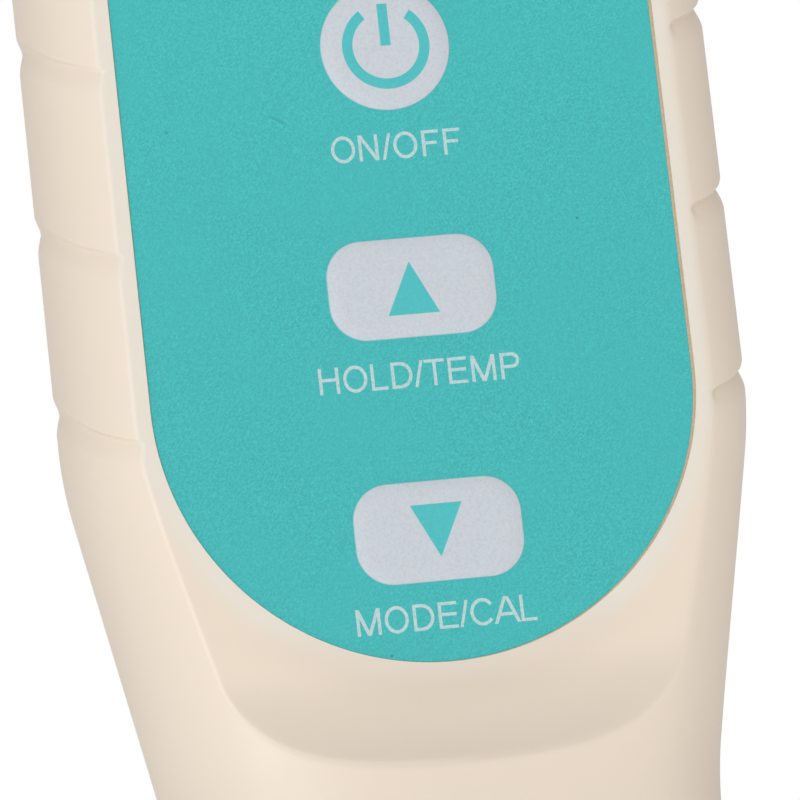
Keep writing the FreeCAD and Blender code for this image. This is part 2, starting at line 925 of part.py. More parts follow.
def battery_cap():
    """The top cap: the housing's section drawn in to a rounded crown, a round bore and a lanyard eye."""
    base_z = housing_top_z + seam_gap
    rise = battery_cap_rise - seam_gap
    solid = None
    for side, reach, power in ((-1, front_reach, front_power), (1, rear_reach, rear_power)):
        wires = []
        for share, draw in cap_draws:
            z = base_z + share * rise
            drawn = reach - draw * cap_draw_depth
            wires.append(arch_wire(z, half_width - draw, drawn, power, side))
        half = Part.makeLoft(wires, True, True)
        solid = half if solid is None else solid.fuse(half)
    bore_top = housing_top_z + spigot_height + top_gap
    eye_z = housing_top_z + eye_rise
    y0 = -eye_thickness / 2.0
    eye = rod_y_axis(0, eye_z, y0, -y0, eye_radius)
    foot = box((-eye_radius, y0, bore_top), (eye_radius, -y0, eye_z))
    solid = solid.fuse([eye, foot])
    solid = solid.cut(rod_y_axis(0, eye_z, 2 * y0, -2 * y0, eye_hole_radius))
    solid = solid.cut(
        rod_z_axis(0, tube_axis_y, base_z, bore_top, spigot_radius + cap_bore_play)
    )
    return solid.removeSplitter()


def battery_cap_contact():
    """The disc in the cap that bears on the top cell, with its raised seat."""
    bore_top = housing_top_z + spigot_height + top_gap
    top_cell = cell_floor_z() + cell_count * cell_height
    z = top_cell + contact_gap
    bridge = cell_radius - contact_inset
    profile = [
        (0, z),
        (bridge, z),
        (bridge, z + contact_thickness),
        (contact_seat_radius, z + contact_thickness),
        (contact_seat_radius, bore_top),
        (0, bore_top),
    ]
    return turned(profile, 0.0, tube_axis_y)


def probe_spigot():
    """The probe socket: a cup clamped in the bottom wall, whose outside carries the collar's thread."""
    low = housing_z - socket_drop
    shoulder = housing_z - fit_gap
    flange_low = cavity_low_z + fit_gap
    flange_high = flange_low + socket_flange_height
    depth = low + socket_depth
    profile = [
        (bore_radius, low),
        (thread_radius, low),
        (thread_radius, shoulder),
        (spigot_neck_radius, shoulder),
        (spigot_neck_radius, flange_low),
        (socket_flange_radius, flange_low),
        (socket_flange_radius, flange_high),
        (0, flange_high),
        (0, depth),
        (bore_radius, depth),
    ]
    cup = turned(profile)
    reach = 2.0 * half_width
    front = inner_front_y + flange_play
    rear = joint_y + cavity_rear_reach - flange_play
    cup = cup.cut(box((-reach, -reach, flange_low), (reach, front, flange_high)))
    cup = cup.cut(box((-reach, rear, flange_low), (reach, reach, flange_high)))
    for x, y in pin_places():
        cup = cup.cut(rod_z_axis(x, y, depth - pin_spare, flange_high + pin_spare, pin_radius))
    return cup


def pin_places():
    turn = 2.0 * math.pi / pin_count
    return [
        (pin_circle * math.cos(turn * i), pin_circle * math.sin(turn * i)) for i in range(pin_count)
    ]


def socket_heights():
    """Heights of the socket's roof, of its top and of the small board above it."""
    roof = housing_z - socket_drop + socket_depth
    top = cavity_low_z + fit_gap + socket_flange_height
    return roof, top, top + socket_board_rise


def socket_pins():
    roof, _, board_z = socket_heights()
    pins = [
        rod_z_axis(x, y, roof - pin_engagement, board_z + pin_stand, pin_radius)
        for x, y in pin_places()
    ]
    return Part.makeCompound(pins)


def socket_board():
    """The round board that the socket's pins pass through."""
    _, _, z = socket_heights()
    top = z + socket_board_thickness
    disc = rod_z_axis(0, 0, z, top, socket_board_radius)
    return disc.cut([rod_z_axis(x, y, z, top, pin_radius) for x, y in pin_places()])


def ribbon_cable():
    """The flat flexible lead from the socket's board up to the back of the main board."""
    _, _, z = socket_heights()
    start_z = z + socket_board_thickness
    y0, t = board_rear_y, ribbon_thickness
    half = ribbon_width / 2.0
    foot_y = y0 + ribbon_stand
    bend_z = arc_z - board_low_drop + ribbon_bend_rise
    low_z, high_z = bend_z - ribbon_bend_half, bend_z + ribbon_bend_half
    outline = [
        (foot_y, start_z),
        (foot_y + t, start_z),
        (foot_y + t, low_z),
        (y0 + t, high_z),
        (y0 + t, bend_z + ribbon_lap),
        (y0, bend_z + ribbon_lap),
        (y0, high_z),
        (foot_y, low_z),
    ]
    points = [vec(-half, y, h) for y, h in outline]
    return Part.Face(Part.makePolygon(points + points[:1])).extrude(vec(ribbon_width, 0, 0))


def probe_levels():
    """Heights of the probe's flange, its plug's top, its sensor face and its guard's open end."""
    flange_high = housing_z - socket_drop - fit_gap
    flange_low = flange_high - flange_height
    plug_top = socket_heights()[0] - plug_gap
    guard_low = probe_clear
    sensor_face = guard_low + sensor_depth
    return flange_high, flange_low, plug_top, sensor_face, guard_low


def sensor_places():
    """Where each sensor stands on the probe's face, with the radius of its hole."""
    return {
        "bulb": (bulb_x, 0.0, bulb_neck_radius),
        "rod": (rod_x, rod_y, rod_radius),
        "pin_a": (*contact_places[0], contact_radius),
        "pin_b": (*contact_places[1], contact_radius),
        "junction": (*junction_place, junction_radius),
    }


def probe_stem():
    """The replaceable probe's body: plug, clamping flange, stem and the seat for its guard."""
    flange_high, flange_low, plug_top, face, low = probe_levels()
    seat_top = low + guard_height
    plug = bore_radius - plug_play
    seat_radius = stem_outer_radius - guard_wall - guard_play
    profile = [
        (0, face),
        (seat_radius, face),
        (seat_radius, seat_top),
        (stem_outer_radius, seat_top),
        (stem_outer_radius, flange_low),
        (flange_radius, flange_low),
        (flange_radius, flange_high),
        (plug, flange_high),
        (plug, plug_top - plug_edge),
        (plug - plug_edge, plug_top),
        (0, plug_top),
    ]
    stem = turned(profile)
    roof = socket_heights()[0]
    cuts = [
        rod_z_axis(x, y, roof - pin_engagement - pin_spare, plug_top, pin_radius + pin_play)
        for x, y in pin_places()
    ]
    for x, y, radius in sensor_places().values():
        cuts.append(rod_z_axis(x, y, face, face + sensor_root, radius))
    cuts.append(ring(plug_ring_radius(), oring_section + groove_play, plug_ring_z()))
    cuts.append(ring(cap_ring_radius(), oring_section + groove_play, cap_ring_z()))
    return stem.cut(cuts)


def plug_ring_radius():
    return bore_radius - oring_play - oring_section


def plug_ring_z():
    flange_high, _, plug_top, _, _ = probe_levels()
    return (flange_high + plug_top) / 2.0


def cap_ring_radius():
    return cap_bore_radius - oring_play - oring_section


def cap_ring_z():
    return cap_height - cap_ring_drop


def probe_plug_oring():
    return ring(plug_ring_radius(), oring_section, plug_ring_z())


def probe_cap_oring():
    return ring(cap_ring_radius(), oring_section, cap_ring_z())


def probe_guard():
    """The slotted cage round the sensors, open at its end."""
    _, _, _, face, low = probe_levels()
    outer, inner = stem_outer_radius, stem_outer_radius - guard_wall
    edge = guard_edge
    top = low + guard_height
    profile = [(inner, low), (outer - edge, low), (outer, low + edge), (outer, top), (inner, top)]
    cage = turned(profile)
    half = guard_slot_width / 2.0
    reach = 2.0 * outer
    slot_low, slot_high = low + guard_ring + half, face - half
    cuts = []
    for i in range(guard_slots):
        slot = box((0, -half, slot_low), (reach, half, slot_high))
        ends = [
            Part.makeCylinder(half, reach, vec(0, 0, z), vec(1, 0, 0)) for z in (slot_low, slot_high)
        ]
        slot = slot.fuse(ends)
        slot.rotate(vec(0, 0, 0), vec(0, 0, 1), (i + 0.5) * 360.0 / guard_slots)
        cuts.append(slot)
    return cage.cut(cuts)


def ph_bulb():
    """The glass electrode: a straight neck blown out to a round bulb."""
    face = probe_levels()[3]
    x, y, radius = sensor_places()["bulb"]
    z = probe_clear + bulb_rise
    neck = rod_z_axis(x, y, z, face + sensor_root, radius)
    return neck.fuse(Part.makeSphere(bulb_radius, vec(x, y, z)))


def temperature_sensor():
    """The steel sensor tube with a round end."""
    face = probe_levels()[3]
    x, y, radius = sensor_places()["rod"]
    tube = rod_z_axis(x, y, face - rod_reach + radius, face + sensor_root, radius)
    return tube.fuse(Part.makeSphere(radius, vec(x, y, face - rod_reach + radius)))


def conductivity_pins():
    face = probe_levels()[3]
    pins = []
    for name in ("pin_a", "pin_b"):
        x, y, radius = sensor_places()[name]
        pins.append(rod_z_axis(x, y, face - contact_reach, face + sensor_root, radius))
    return Part.makeCompound(pins)


def reference_junction():
    face = probe_levels()[3]
    x, y, radius = sensor_places()["junction"]
    return rod_z_axis(x, y, face - junction_stand, face + sensor_root, radius)


def probe_collar():
    """The ribbed screw collar that clamps the probe's flange against the socket."""
    low, high = cap_height + seam_gap, housing_z - 2 * fit_gap
    lip_high = probe_levels()[1] - fit_gap
    edge = collar_edge
    inner = thread_radius + collar_play
    hole = stem_outer_radius + collar_hole_play
    profile = [
        (hole, low),
        (collar_radius - edge, low),
        (collar_radius, low + edge),
        (collar_radius, high - edge / 2.0),
        (collar_radius - edge / 2.0, high),
        (inner, high),
        (inner, lip_high),
        (hole, lip_high),
    ]
    collar = turned(profile)
    ribs = []
    root = collar_radius - collar_rib_root
    for i in range(collar_rib_count):
        rib = box(
            (root, -collar_rib_half_width, low + 2 * edge),
            (collar_radius + collar_rib, collar_rib_half_width, high - 2 * edge),
        )
        rib.rotate(vec(0, 0, 0), vec(0, 0, 1), i * 360.0 / collar_rib_count)
        ribs.append(rib)
    return collar.fuse(ribs)


def protective_cap():
    """The clear cap over the probe: a cup with a flat foot and shallow finger grooves."""
    foot, mouth = cap_foot_radius, cap_mouth_radius
    edge = cap_edge
    profile = [
        (0, 0),
        (foot - edge, 0),
        (foot, edge),
        (mouth, cap_height),
        (cap_bore_radius, cap_height),
        (cap_bore_radius, cap_floor),
        (0, cap_floor),
    ]
    cup = turned(profile)
    pitch = cap_grip_height / cap_grip_grooves
    cuts = []
    for i in range(cap_grip_grooves):
        z = cap_groove_rise + i * pitch
        radius = foot + (mouth - foot) * (z - edge) / (cap_height - edge)
        cuts.append(ring(radius + cap_groove_stand, cap_groove_radius, z))
    return cup.cut(cuts)


def cap_sponge():
    """The wetting sponge in the foot of the cap."""
    return rod_z_axis(0, 0, cap_floor, cap_floor + sponge_height, cap_bore_radius - sponge_play)


def build():
    """Every node by name, in the order that the tester is put together."""
    nodes = {
        "front_shell": front_shell,
        "rear_shell": rear_shell,
        "shell_gasket": shell_gasket,
        "front_overlay": front_overlay,
        "display_window": display_window,
        "lcd_glass": lcd_glass,
        "lcd_frame": lcd_frame,
        "lcd_connectors": lcd_connectors,
        "main_board": main_board,
        "processor_chip": processor_chip,
        "board_parts": board_parts,
        "board_screws": board_screws,
        "shell_screws": shell_screws,
        "battery_tube": battery_tube,
        "battery_tube_oring": battery_tube_oring,
        "battery_spring": battery_spring,
        "battery_contact_strip": battery_contact_strip,
        "battery_cap": battery_cap,
        "battery_cap_contact": battery_cap_contact,
        "probe_spigot": probe_spigot,
        "socket_pins": socket_pins,
        "socket_board": socket_board,
        "ribbon_cable": ribbon_cable,
        "probe_stem": probe_stem,
        "probe_plug_oring": probe_plug_oring,
        "probe_cap_oring": probe_cap_oring,
        "probe_guard": probe_guard,
        "ph_bulb": ph_bulb,
        "temperature_sensor": temperature_sensor,
        "conductivity_pins": conductivity_pins,
        "reference_junction": reference_junction,
        "probe_collar": probe_collar,
        "protective_cap": protective_cap,
        "cap_sponge": cap_sponge,
    }
    shapes = {name: make() for name, make in nodes.items()}
    for name in key_heights:
        shapes[name + "_key"] = key_pad(name)
        shapes[name + "_plunger"] = plunger(name)
        shapes[name + "_switch"] = switch_body(name)
    for index in range(cell_count):
        shapes[f"battery_cell_{index + 1}"] = battery_cell(index)
    return shapes


def main():
    os.makedirs("parts", exist_ok=True)
    for name, shape in build().items():
        whole = shape.Solids[0]
        if len(shape.Solids) > 1:
            whole = Part.makeCompound(shape.Solids)
        whole.exportStep(f"parts/{name}.step")
        print(f"{name}: {len(shape.Solids)} solid(s), valid {shape.isValid()}, {shape.Volume:.1f} mm3")


main()
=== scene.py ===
"""A pen-style water quality tester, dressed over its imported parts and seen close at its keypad.

Sizes are in millimetres unless a name says otherwise, and every mesh is brought to metres when it is made.
"""

import json
import logging
import math
from dataclasses import dataclass, field
from enum import Enum
from typing import Callable, Sequence

import bmesh
import bpy
import numpy as np
from mathutils import Matrix, Vector


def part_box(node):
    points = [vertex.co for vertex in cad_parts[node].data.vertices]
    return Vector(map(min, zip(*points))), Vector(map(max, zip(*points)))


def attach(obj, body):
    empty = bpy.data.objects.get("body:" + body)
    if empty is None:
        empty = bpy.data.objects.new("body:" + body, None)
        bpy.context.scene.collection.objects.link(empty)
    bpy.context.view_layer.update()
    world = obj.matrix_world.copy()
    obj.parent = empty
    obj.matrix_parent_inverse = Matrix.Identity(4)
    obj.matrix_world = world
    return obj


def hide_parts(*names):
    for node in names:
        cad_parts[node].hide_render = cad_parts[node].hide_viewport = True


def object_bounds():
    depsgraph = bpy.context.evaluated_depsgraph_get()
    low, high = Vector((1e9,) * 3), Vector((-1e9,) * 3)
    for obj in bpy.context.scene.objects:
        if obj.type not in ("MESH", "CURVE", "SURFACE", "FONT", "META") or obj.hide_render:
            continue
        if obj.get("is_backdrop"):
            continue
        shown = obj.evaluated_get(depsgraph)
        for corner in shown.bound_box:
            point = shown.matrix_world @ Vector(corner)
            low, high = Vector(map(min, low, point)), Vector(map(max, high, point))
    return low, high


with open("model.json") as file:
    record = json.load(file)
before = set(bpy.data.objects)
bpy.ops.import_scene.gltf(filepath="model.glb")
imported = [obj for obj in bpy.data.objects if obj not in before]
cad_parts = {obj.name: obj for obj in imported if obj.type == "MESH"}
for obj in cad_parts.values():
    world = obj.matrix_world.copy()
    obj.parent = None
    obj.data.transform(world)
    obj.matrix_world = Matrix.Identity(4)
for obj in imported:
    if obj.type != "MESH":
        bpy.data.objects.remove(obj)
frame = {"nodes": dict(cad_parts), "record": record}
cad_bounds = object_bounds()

MM = 0.001
IMAGE_SIDE = 800
SENSOR_WIDTH = 36.0
LABEL_HALF_WIDTH = 16.0
KEY_CORNER = 2.2
WALL_SHARP = 34.0
# How far a cutter runs past what it cuts, and how far a print or a cutter sinks into the face that it meets.
OVERRUN = 1.0
OVERLAP = 0.05

Triple = tuple[float, float, float]
Colour = Triple
Span = tuple[float, float]
Box = tuple[np.ndarray, np.ndarray]
Piece = bpy.types.Object
BLACK: Colour = (0.0, 0.0, 0.0)
EVEN: Triple = (1.0, 1.0, 1.0)
FILM_COLOUR: Colour = (0.056, 0.478, 0.485)

log = logging.getLogger("tester")


# Shader expressions


class Wire:
    """A shader socket that takes part in Python expressions; each operation on values adds a Math node."""

    def __init__(self, shader: "Shader", socket: bpy.types.NodeSocket) -> None:
        """Wraps a socket of a shader's tree."""
        self.shader = shader
        self.socket = socket

    def _math(self, operation: str, *others: "Wire | float") -> "Wire":
        """A Math node fed with this wire and others, in order."""
        return self.shader.node("ShaderNodeMath", {"operation": operation}, dict(enumerate((self, *others))))

    def __add__(self, other: "Wire | float") -> "Wire":
        """Sum."""
        return self._math("ADD", other)

    def __sub__(self, other: "Wire | float") -> "Wire":
        """Difference."""
        return self._math("SUBTRACT", other)

    def __rsub__(self, other: float) -> "Wire":
        """A number less this wire."""
        return self.shader.node("ShaderNodeMath", {"operation": "SUBTRACT"}, {0: other, 1: self})

    def __mul__(self, other: "Wire | float") -> "Wire":
        """Product."""
        return self._math("MULTIPLY", other)

    def __pow__(self, other: "Wire | float") -> "Wire":
        """Power."""
        return self._math("POWER", other)

    __radd__ = __add__
    __rmul__ = __mul__

    def smallest(self, other: "Wire | float") -> "Wire":
        """The smaller of the two."""
        return self._math("MINIMUM", other)

    def largest(self, other: "Wire | float") -> "Wire":
        """The larger of the two."""
        return self._math("MAXIMUM", other)

    def size(self) -> "Wire":
        """The value without its sign."""
        return self._math("ABSOLUTE")

    def sine(self) -> "Wire":
        """The sine of a value in radians."""
        return self._math("SINE")

    def step(self, low: float, high: float) -> "Wire":
        """Zero below low, one above high, and a smooth rise between them; falls where low is above high."""
        values = {"Value": self, "From Min": min(low, high), "From Max": max(low, high)}
        values.update({"To Min": float(low > high), "To Max": float(low <= high)})
        return self.shader.node("ShaderNodeMapRange", {"interpolation_type": "SMOOTHSTEP"}, values)


class Shader:
    """The nodes of a material or a world under construction, with one method that adds any node."""

    def __init__(self, owner: bpy.types.Material | bpy.types.World) -> None:
        """Empties the owner's node tree."""
        self.owner = owner
        owner.use_nodes = True
        self.tree = owner.node_tree
        self.tree.nodes.clear()

    def node(
        self, kind: str, settings: dict | None = None, values: dict | None = None, output: int | str = 0
    ) -> Wire | None:
        """Adds a node.

        Args:
            kind: the node's type.
            settings: attributes that are set first, such as an operation.
            values: a value or a Wire for each input, by name or index.
            output: which output to hand back.

        Returns:
            The chosen output as a Wire, or None for a node that has no outputs.
        """
        made = self.tree.nodes.new(kind)
        for key, value in (settings or {}).items():
            setattr(made, key, value)
        for key, value in (values or {}).items():
            if isinstance(value, Wire):
                self.tree.links.new(value.socket, made.inputs[key])
            else:
                made.inputs[key].default_value = value
        return Wire(self, made.outputs[output]) if made.outputs else None

    def place(self) -> tuple[Wire, Wire, Wire]:
        """The point's object coordinates in millimetres, as three values."""
        point = self.node("ShaderNodeTexCoord", output="Object")
        tall = self.node("ShaderNodeVectorMath", {"operation": "SCALE"}, {0: point, "Scale": 1.0 / MM})
        parts = self.node("ShaderNodeSeparateXYZ", values={0: tall}).socket.node.outputs
        return Wire(self, parts[0]), Wire(self, parts[1]), Wire(self, parts[2])

    def noise(self, size: float, detail: float = 2.0, stretch: Triple = EVEN, turn: float = 0.0) -> Wire:
        """Soft noise from 0 to 1.

        Args:
            size: the width of a blotch.
            detail: how many finer layers it has.
            stretch: how far the pattern is drawn out along each axis.
            turn: degrees by which the pattern leans about Y.

        Returns:
            The noise as a Wire.
        """
        point = self.node("ShaderNodeTexCoord", output="Object")
        scale = tuple(1.0 / (MM * size * s) for s in stretch)
        turned = {"Vector": point, "Rotation": (0.0, math.radians(turn), 0.0)}
        leaning = self.node("ShaderNodeMapping", values=turned)
        moved = self.node("ShaderNodeMapping", values={"Vector": leaning, "Scale": scale})
        return self.node("ShaderNodeTexNoise", values={"Vector": moved, "Scale": 1.0, "Detail": detail})

    def cells(self, size: float) -> Wire:
        """Distance to the nearest of scattered points, for specks and pores of that spacing."""
        point = self.node("ShaderNodeTexCoord", output="Object")
        return self.node("ShaderNodeTexVoronoi", values={"Vector": point, "Scale": 1.0 / (MM * size)})

    def blend(self, share: Wire | float, first: Wire | Colour, second: Wire | Colour) -> Wire:
        """The first colour where share is 0 and the second where it is 1."""
        made = self.tree.nodes.new("ShaderNodeMix")
        made.data_type = "RGBA"
        for index, value in ((0, share), (6, first), (7, second)):
            if isinstance(value, Wire):
                self.tree.links.new(value.socket, made.inputs[index])
            else:
                made.inputs[index].default_value = value if index == 0 else (*value, 1.0)
        return Wire(self, made.outputs[2])

    def finish(
        self, colour: Wire, roughness: Wire | float, height: Wire, depth: float, others: dict
    ) -> bpy.types.Material:
        """Closes the material with a Principled shader.

        Args:
            colour: its base colour.
            roughness: its roughness.
            height: a bump height from 0 to 1.
            depth: what a height of 1 stands for.
            others: its further inputs, by name.

        Returns:
            The material.
        """
        bump = {"Height": height, "Distance": depth * MM, "Strength": 1.0}
        normal = self.node("ShaderNodeBump", values=bump)
        inputs = {"Base Color": colour, "Roughness": roughness, "Normal": normal}
        surface = self.node("ShaderNodeBsdfPrincipled", values=inputs | others)
        self.node("ShaderNodeOutputMaterial", values={"Surface": surface})
        return self.owner


# Finishes


@dataclass(frozen=True)
class Finish:
    """What every finish has: a name, a colour and a roughness."""

    name: str
    colour: Colour
    roughness: float = 0.5

    def material(self) -> bpy.types.Material:
        """Builds the material, once for each name."""
        found = bpy.data.materials.get(self.name)
        return found or self.build(Shader(bpy.data.materials.new(self.name)))

    def build(self, shader: Shader) -> bpy.types.Material:
        """Fills the shader; each kind of finish has its own."""
        raise NotImplementedError

    def tinted(self, share: float) -> Colour:
        """The colour made lighter or darker by a factor."""
        return tuple(min(c * share, 1.0) for c in self.colour)


@dataclass(frozen=True)
class MouldedPlastic(Finish):
    """Satin moulded plastic: fine spark-eroded grain, faint tone changes and slightly polished spots."""

    grain: float = 0.18
    relief: float = 0.004
    mottle: float = 0.025

    def build(self, shader: Shader) -> bpy.types.Material:
        """Grain in the bump and the roughness, and a slow drift of tone in the colour."""
        fine = shader.noise(self.grain, 3.0)
        drift = shader.noise(14.0, 2.0)
        worn = shader.noise(4.0, 4.0)
        colour = shader.blend(drift, self.tinted(1.0 - self.mottle), self.tinted(1.0 + self.mottle))
        colour = self.coloured(shader, colour)
        rough = self.roughness + 0.12 * (worn - 0.5) + 0.08 * (fine - 0.5)
        return shader.finish(colour, rough, fine, self.relief, {"IOR": 1.5, "Specular IOR Level": 0.42})

    def coloured(self, shader: Shader, colour: Wire) -> Wire:
        """Room for a kind of plastic to vary its colour from place to place."""
        return colour


@dataclass(frozen=True)
class HousingPlastic(MouldedPlastic):
    """The housing's plastic, with painted light: a paler painted sheen on the flat strip beside the label,
    darker painted shade on the ramp, the foot and the neck, and a bright painted highlight along the left
    crease.

    A pair such as foot_fall gives where a zone starts and where it is full. A fall is a height below the
    label's arc centre, a reach is a distance from it, and a gap is the depth behind the scooped front.
    """

    # Painted sheen: the paler, greyer tint of the flat strip beside the label stands for a reflection.
    land_sheen: Colour = (0.79, 0.762, 0.688)
    land_sheen_share: float = 0.75
    land_inner: Span = (15.8, 16.0)
    land_outer: Span = (17.58, 16.68)
    land_high: Span = (156.0, 150.0)
    land_front: Span = (-9.9, -10.7)
    land_y: float = -11.15
    arc_z: float = 94.0
    # Painted shade at the label's foot.
    foot_fall: Span = (-12.5, -15.5)
    foot_reach: Span = (19.5, 16.6)
    foot_shade_share: float = 0.6
    foot_shade_tint: float = 0.9
    # Painted shade on the ramp below the label; these numbers follow the ramp's shape.
    ramp_start: float = 16.2
    ramp_run: float = 8.0
    ramp_slope: float = 0.06
    ramp_radius: float = 11.5
    ramp_gap: Span = (0.2, 0.05)
    ramp_fall: Span = (-15.2, -18.2)
    ramp_shade: float = 0.062
    # Painted shade down the neck, darker towards the bottom.
    neck_fall: Span = (-19.0, -25.0)
    neck_share: float = 0.6
    # Painted highlight on the left crease.
    edge_inner: Span = (0.01, 0.04)
    edge_outer: Span = (0.15, 0.08)
    edge_left: Span = (2.0, -2.0)
    crease_highlight_share: float = 0.26
    crease_highlight_tint: float = 1.12

    def coloured(self, shader: Shader, colour: Wire) -> Wire:
        """Mixes in the paler painted sheen round the label, then the painted shade at the foot, on the ramp
        and down the neck, and the painted highlight on the crease.
        """
        x, y, z = shader.place()
        fall = (z - self.arc_z).smallest(0.0)
        reach = (x * x + fall * fall) ** 0.5
        front = y.step(*self.land_front)
        # Painted sheen: the flat strip round the label is made paler and greyer.
        land_sheen = reach.step(*self.land_inner) * reach.step(*self.land_outer) * z.step(*self.land_high) * front
        colour = shader.blend(land_sheen * self.land_sheen_share, colour, self.land_sheen)
        # Painted shade: the colour is darkened just below the label's foot.
        foot = fall.step(*self.foot_fall) * reach.step(*self.foot_reach) * front
        colour = shader.blend(foot * self.foot_shade_share, colour, self.tinted(self.foot_shade_tint))
        # Painted shade: the ramp below the label is darkened, and the neck grows darker towards the bottom.
        run = (self.arc_z - self.ramp_start - z).largest(0.0).smallest(self.ramp_run)
        rise = self.ramp_radius - (self.ramp_radius**2 - run * run) ** 0.5
        gap = y - (self.land_y - run * self.ramp_slope - rise)
        shaded = gap.step(*self.ramp_gap) * fall.step(*self.ramp_fall)
        shaded = shaded + fall.step(*self.neck_fall) * self.neck_share
        colour = shader.blend(shaded * self.ramp_shade, colour, BLACK)
        # Painted highlight: a thin bright line along the left crease.
        edge = gap.step(*self.edge_inner) * gap.step(*self.edge_outer) * x.step(*self.edge_left)
        return shader.blend(edge * self.crease_highlight_share, colour, self.tinted(self.crease_highlight_tint))


@dataclass(frozen=True)
class PrintedFilm(Finish):
    """Textured polyester film, printed from behind: a close slanting grain, painted glints and a few marks of
    use.

    The grain swings between two tints: a lower pair at the keys, and a lighter upper pair above them, painted
    light that makes the film lighter towards the top.
    """

    scratch: tuple[float, float, float, float] = (0.0, 0.0, 1.0, 1.0)
    spots: tuple[Span, ...] = ((-3.55, 78.62), (10.25, 103.33))
    grain_swing: Span = (0.38, 0.64)
    lower: Span = (0.79, 1.25)
    upper: Span = (0.84, 1.31)
    # Painted light: where the film turns lighter towards the top.
    paler: Span = (95.0, 125.0)
    cloud_tint: float = 1.03
    # Painted highlight: small bright glints on the grain.
    glint_share: float = 0.4
    glint_tint: float = 1.5
    speck_share: float = 0.5
    scratch_share: float = 0.4
    spot_share: float = 0.6
    mark_tint: float = 0.35

    def build(self, shader: Shader) -> bpy.types.Material:
        """Grain in the bump and the colour, bright painted glints, and dark specks and marks."""
        pebble = shader.noise(0.09, 1.5, (1.0, 1.0, 2.2), -42.0)
        fine = shader.noise(0.062, 1.5, (1.0, 1.0, 1.6), -35.0)
        cloud = shader.noise(6.0, 3.0)
        texture = 0.45 * pebble + 0.55 * fine
        x, _, z = shader.place()
        swing = texture.step(*self.grain_swing)
        lower, upper = (shader.blend(swing, *map(self.tinted, pair)) for pair in (self.lower, self.upper))
        # Painted light: the lighter upper pair makes the film lighter towards the top.
        colour = shader.blend(z.step(*self.paler), lower, upper)
        colour = shader.blend(cloud, colour, self.tinted(self.cloud_tint))
        # Painted highlight: small bright glints scattered over the grain.
        glint = shader.cells(0.42).step(0.16, 0.07) * self.glint_share
        colour = shader.blend(glint, colour, self.tinted(self.glint_tint))
        mark = shader.cells(8.3).step(0.022, 0.012) * self.speck_share
        mark = mark.largest(self.scratched(x, z, (fine - 0.5) * 0.35) * self.scratch_share)
        for spot_x, spot_z in self.spots:
            off_x, off_z = x - spot_x, z - spot_z
            away = (off_x * off_x + off_z * off_z) ** 0.5
            mark = mark.largest(away.step(0.13, 0.05) * self.spot_share)
        colour = shader.blend(mark, colour, self.tinted(self.mark_tint))
        rough = self.roughness + 0.1 * (texture - 0.5)
        return shader.finish(colour, rough, texture, 0.03, {"IOR": 1.5, "Specular IOR Level": 0.3})

    def scratched(self, x: Wire, z: Wire, ragged: Wire) -> Wire:
        """One on the scratch, a line with ragged sides between two points, and zero away from it."""
        x0, z0, x1, z1 = self.scratch
        run = math.hypot(x1 - x0, z1 - z0)
        dx, dz = (x1 - x0) / run, (z1 - z0) / run
        along = (x - x0) * dx + (z - z0) * dz
        across = ((x - x0) * dz - (z - z0) * dx + ragged).size()
        return across.step(0.09, 0.02) * along.step(-0.1, 0.25) * along.step(run + 0.1, run - 0.25)


@dataclass(frozen=True)
class PrintedInk(Finish):
    """Screen-printed ink with the film's grain showing through it."""

    ground: Colour = (0.5, 0.5, 0.5)
    thin: float = 0.3
    rim: Span | None = None

    def build(self, shader: Shader) -> bpy.types.Material:
        """The ground shows through where the grain is high, and the film where the ink ends at a rim."""
        pebble = shader.noise(0.16, 3.0)
        colour = shader.blend(pebble.step(0.35, 0.75) * self.thin, self.colour, self.ground)
        if self.rim is not None:
            _, y, _ = shader.place()
            colour = shader.blend(y.step(*self.rim), colour, FILM_COLOUR)
        return shader.finish(colour, self.roughness, pebble, 0.012, {"Specular IOR Level": 0.25})


@dataclass(frozen=True)
class Metal(Finish):
    """Plated or stainless metal, with fine lines along Z."""

    def build(self, shader: Shader) -> bpy.types.Material:
        """Lines in the roughness and the bump, and a little tarnish in the colour."""
        lines = shader.noise(0.12, 3.0, (1.0, 1.0, 18.0))
        tarnish = shader.noise(2.5, 3.0)
        colour = shader.blend(tarnish.step(0.35, 0.8), self.colour, self.tinted(0.78))
        rough = self.roughness + 0.18 * (lines - 0.5)
        return shader.finish(colour, rough, lines, 0.003, {"Metallic": 1.0})


@dataclass(frozen=True)
class Clear(Finish):
    """Clear plastic or glass: nearly see-through face on, fuller at the rims, with faint flow marks."""

    body: float = 0.12
    rim: float = 0.6

    def build(self, shader: Shader) -> bpy.types.Material:
        """Alpha grows towards grazing angles, as a clear wall's does."""
        facing = shader.node("ShaderNodeLayerWeight", values={"Blend": 0.35}, output="Facing")
        flow = shader.noise(5.0, 2.0, (1.0, 1.0, 4.0))
        alpha = (self.body + self.rim * facing**2.0 + 0.05 * (flow - 0.5)).smallest(1.0)
        colour = shader.blend(flow, self.tinted(0.97), self.tinted(1.03))
        return shader.finish(colour, self.roughness, flow, 0.01, {"Alpha": alpha, "IOR": 1.49})


@dataclass(frozen=True)
class Porous(Finish):
    """Foam or fired ceramic, with pores of a given spacing."""

    pore: float = 0.8
    relief: float = 0.3

    def build(self, shader: Shader) -> bpy.types.Material:
        """Pores sink in the bump, and painted shade darkens the colour in them."""
        cell = shader.cells(self.pore)
        dust = shader.noise(self.pore * 0.5, 3.0)
        hole = cell.step(0.1, 0.6)
        # Painted shade in the pores.
        colour = shader.blend(hole, self.tinted(0.55), self.tinted(1.0))
        relief = hole * 0.7 + dust * 0.3
        return shader.finish(colour, self.roughness, relief, self.relief, {"Specular IOR Level": 0.2})


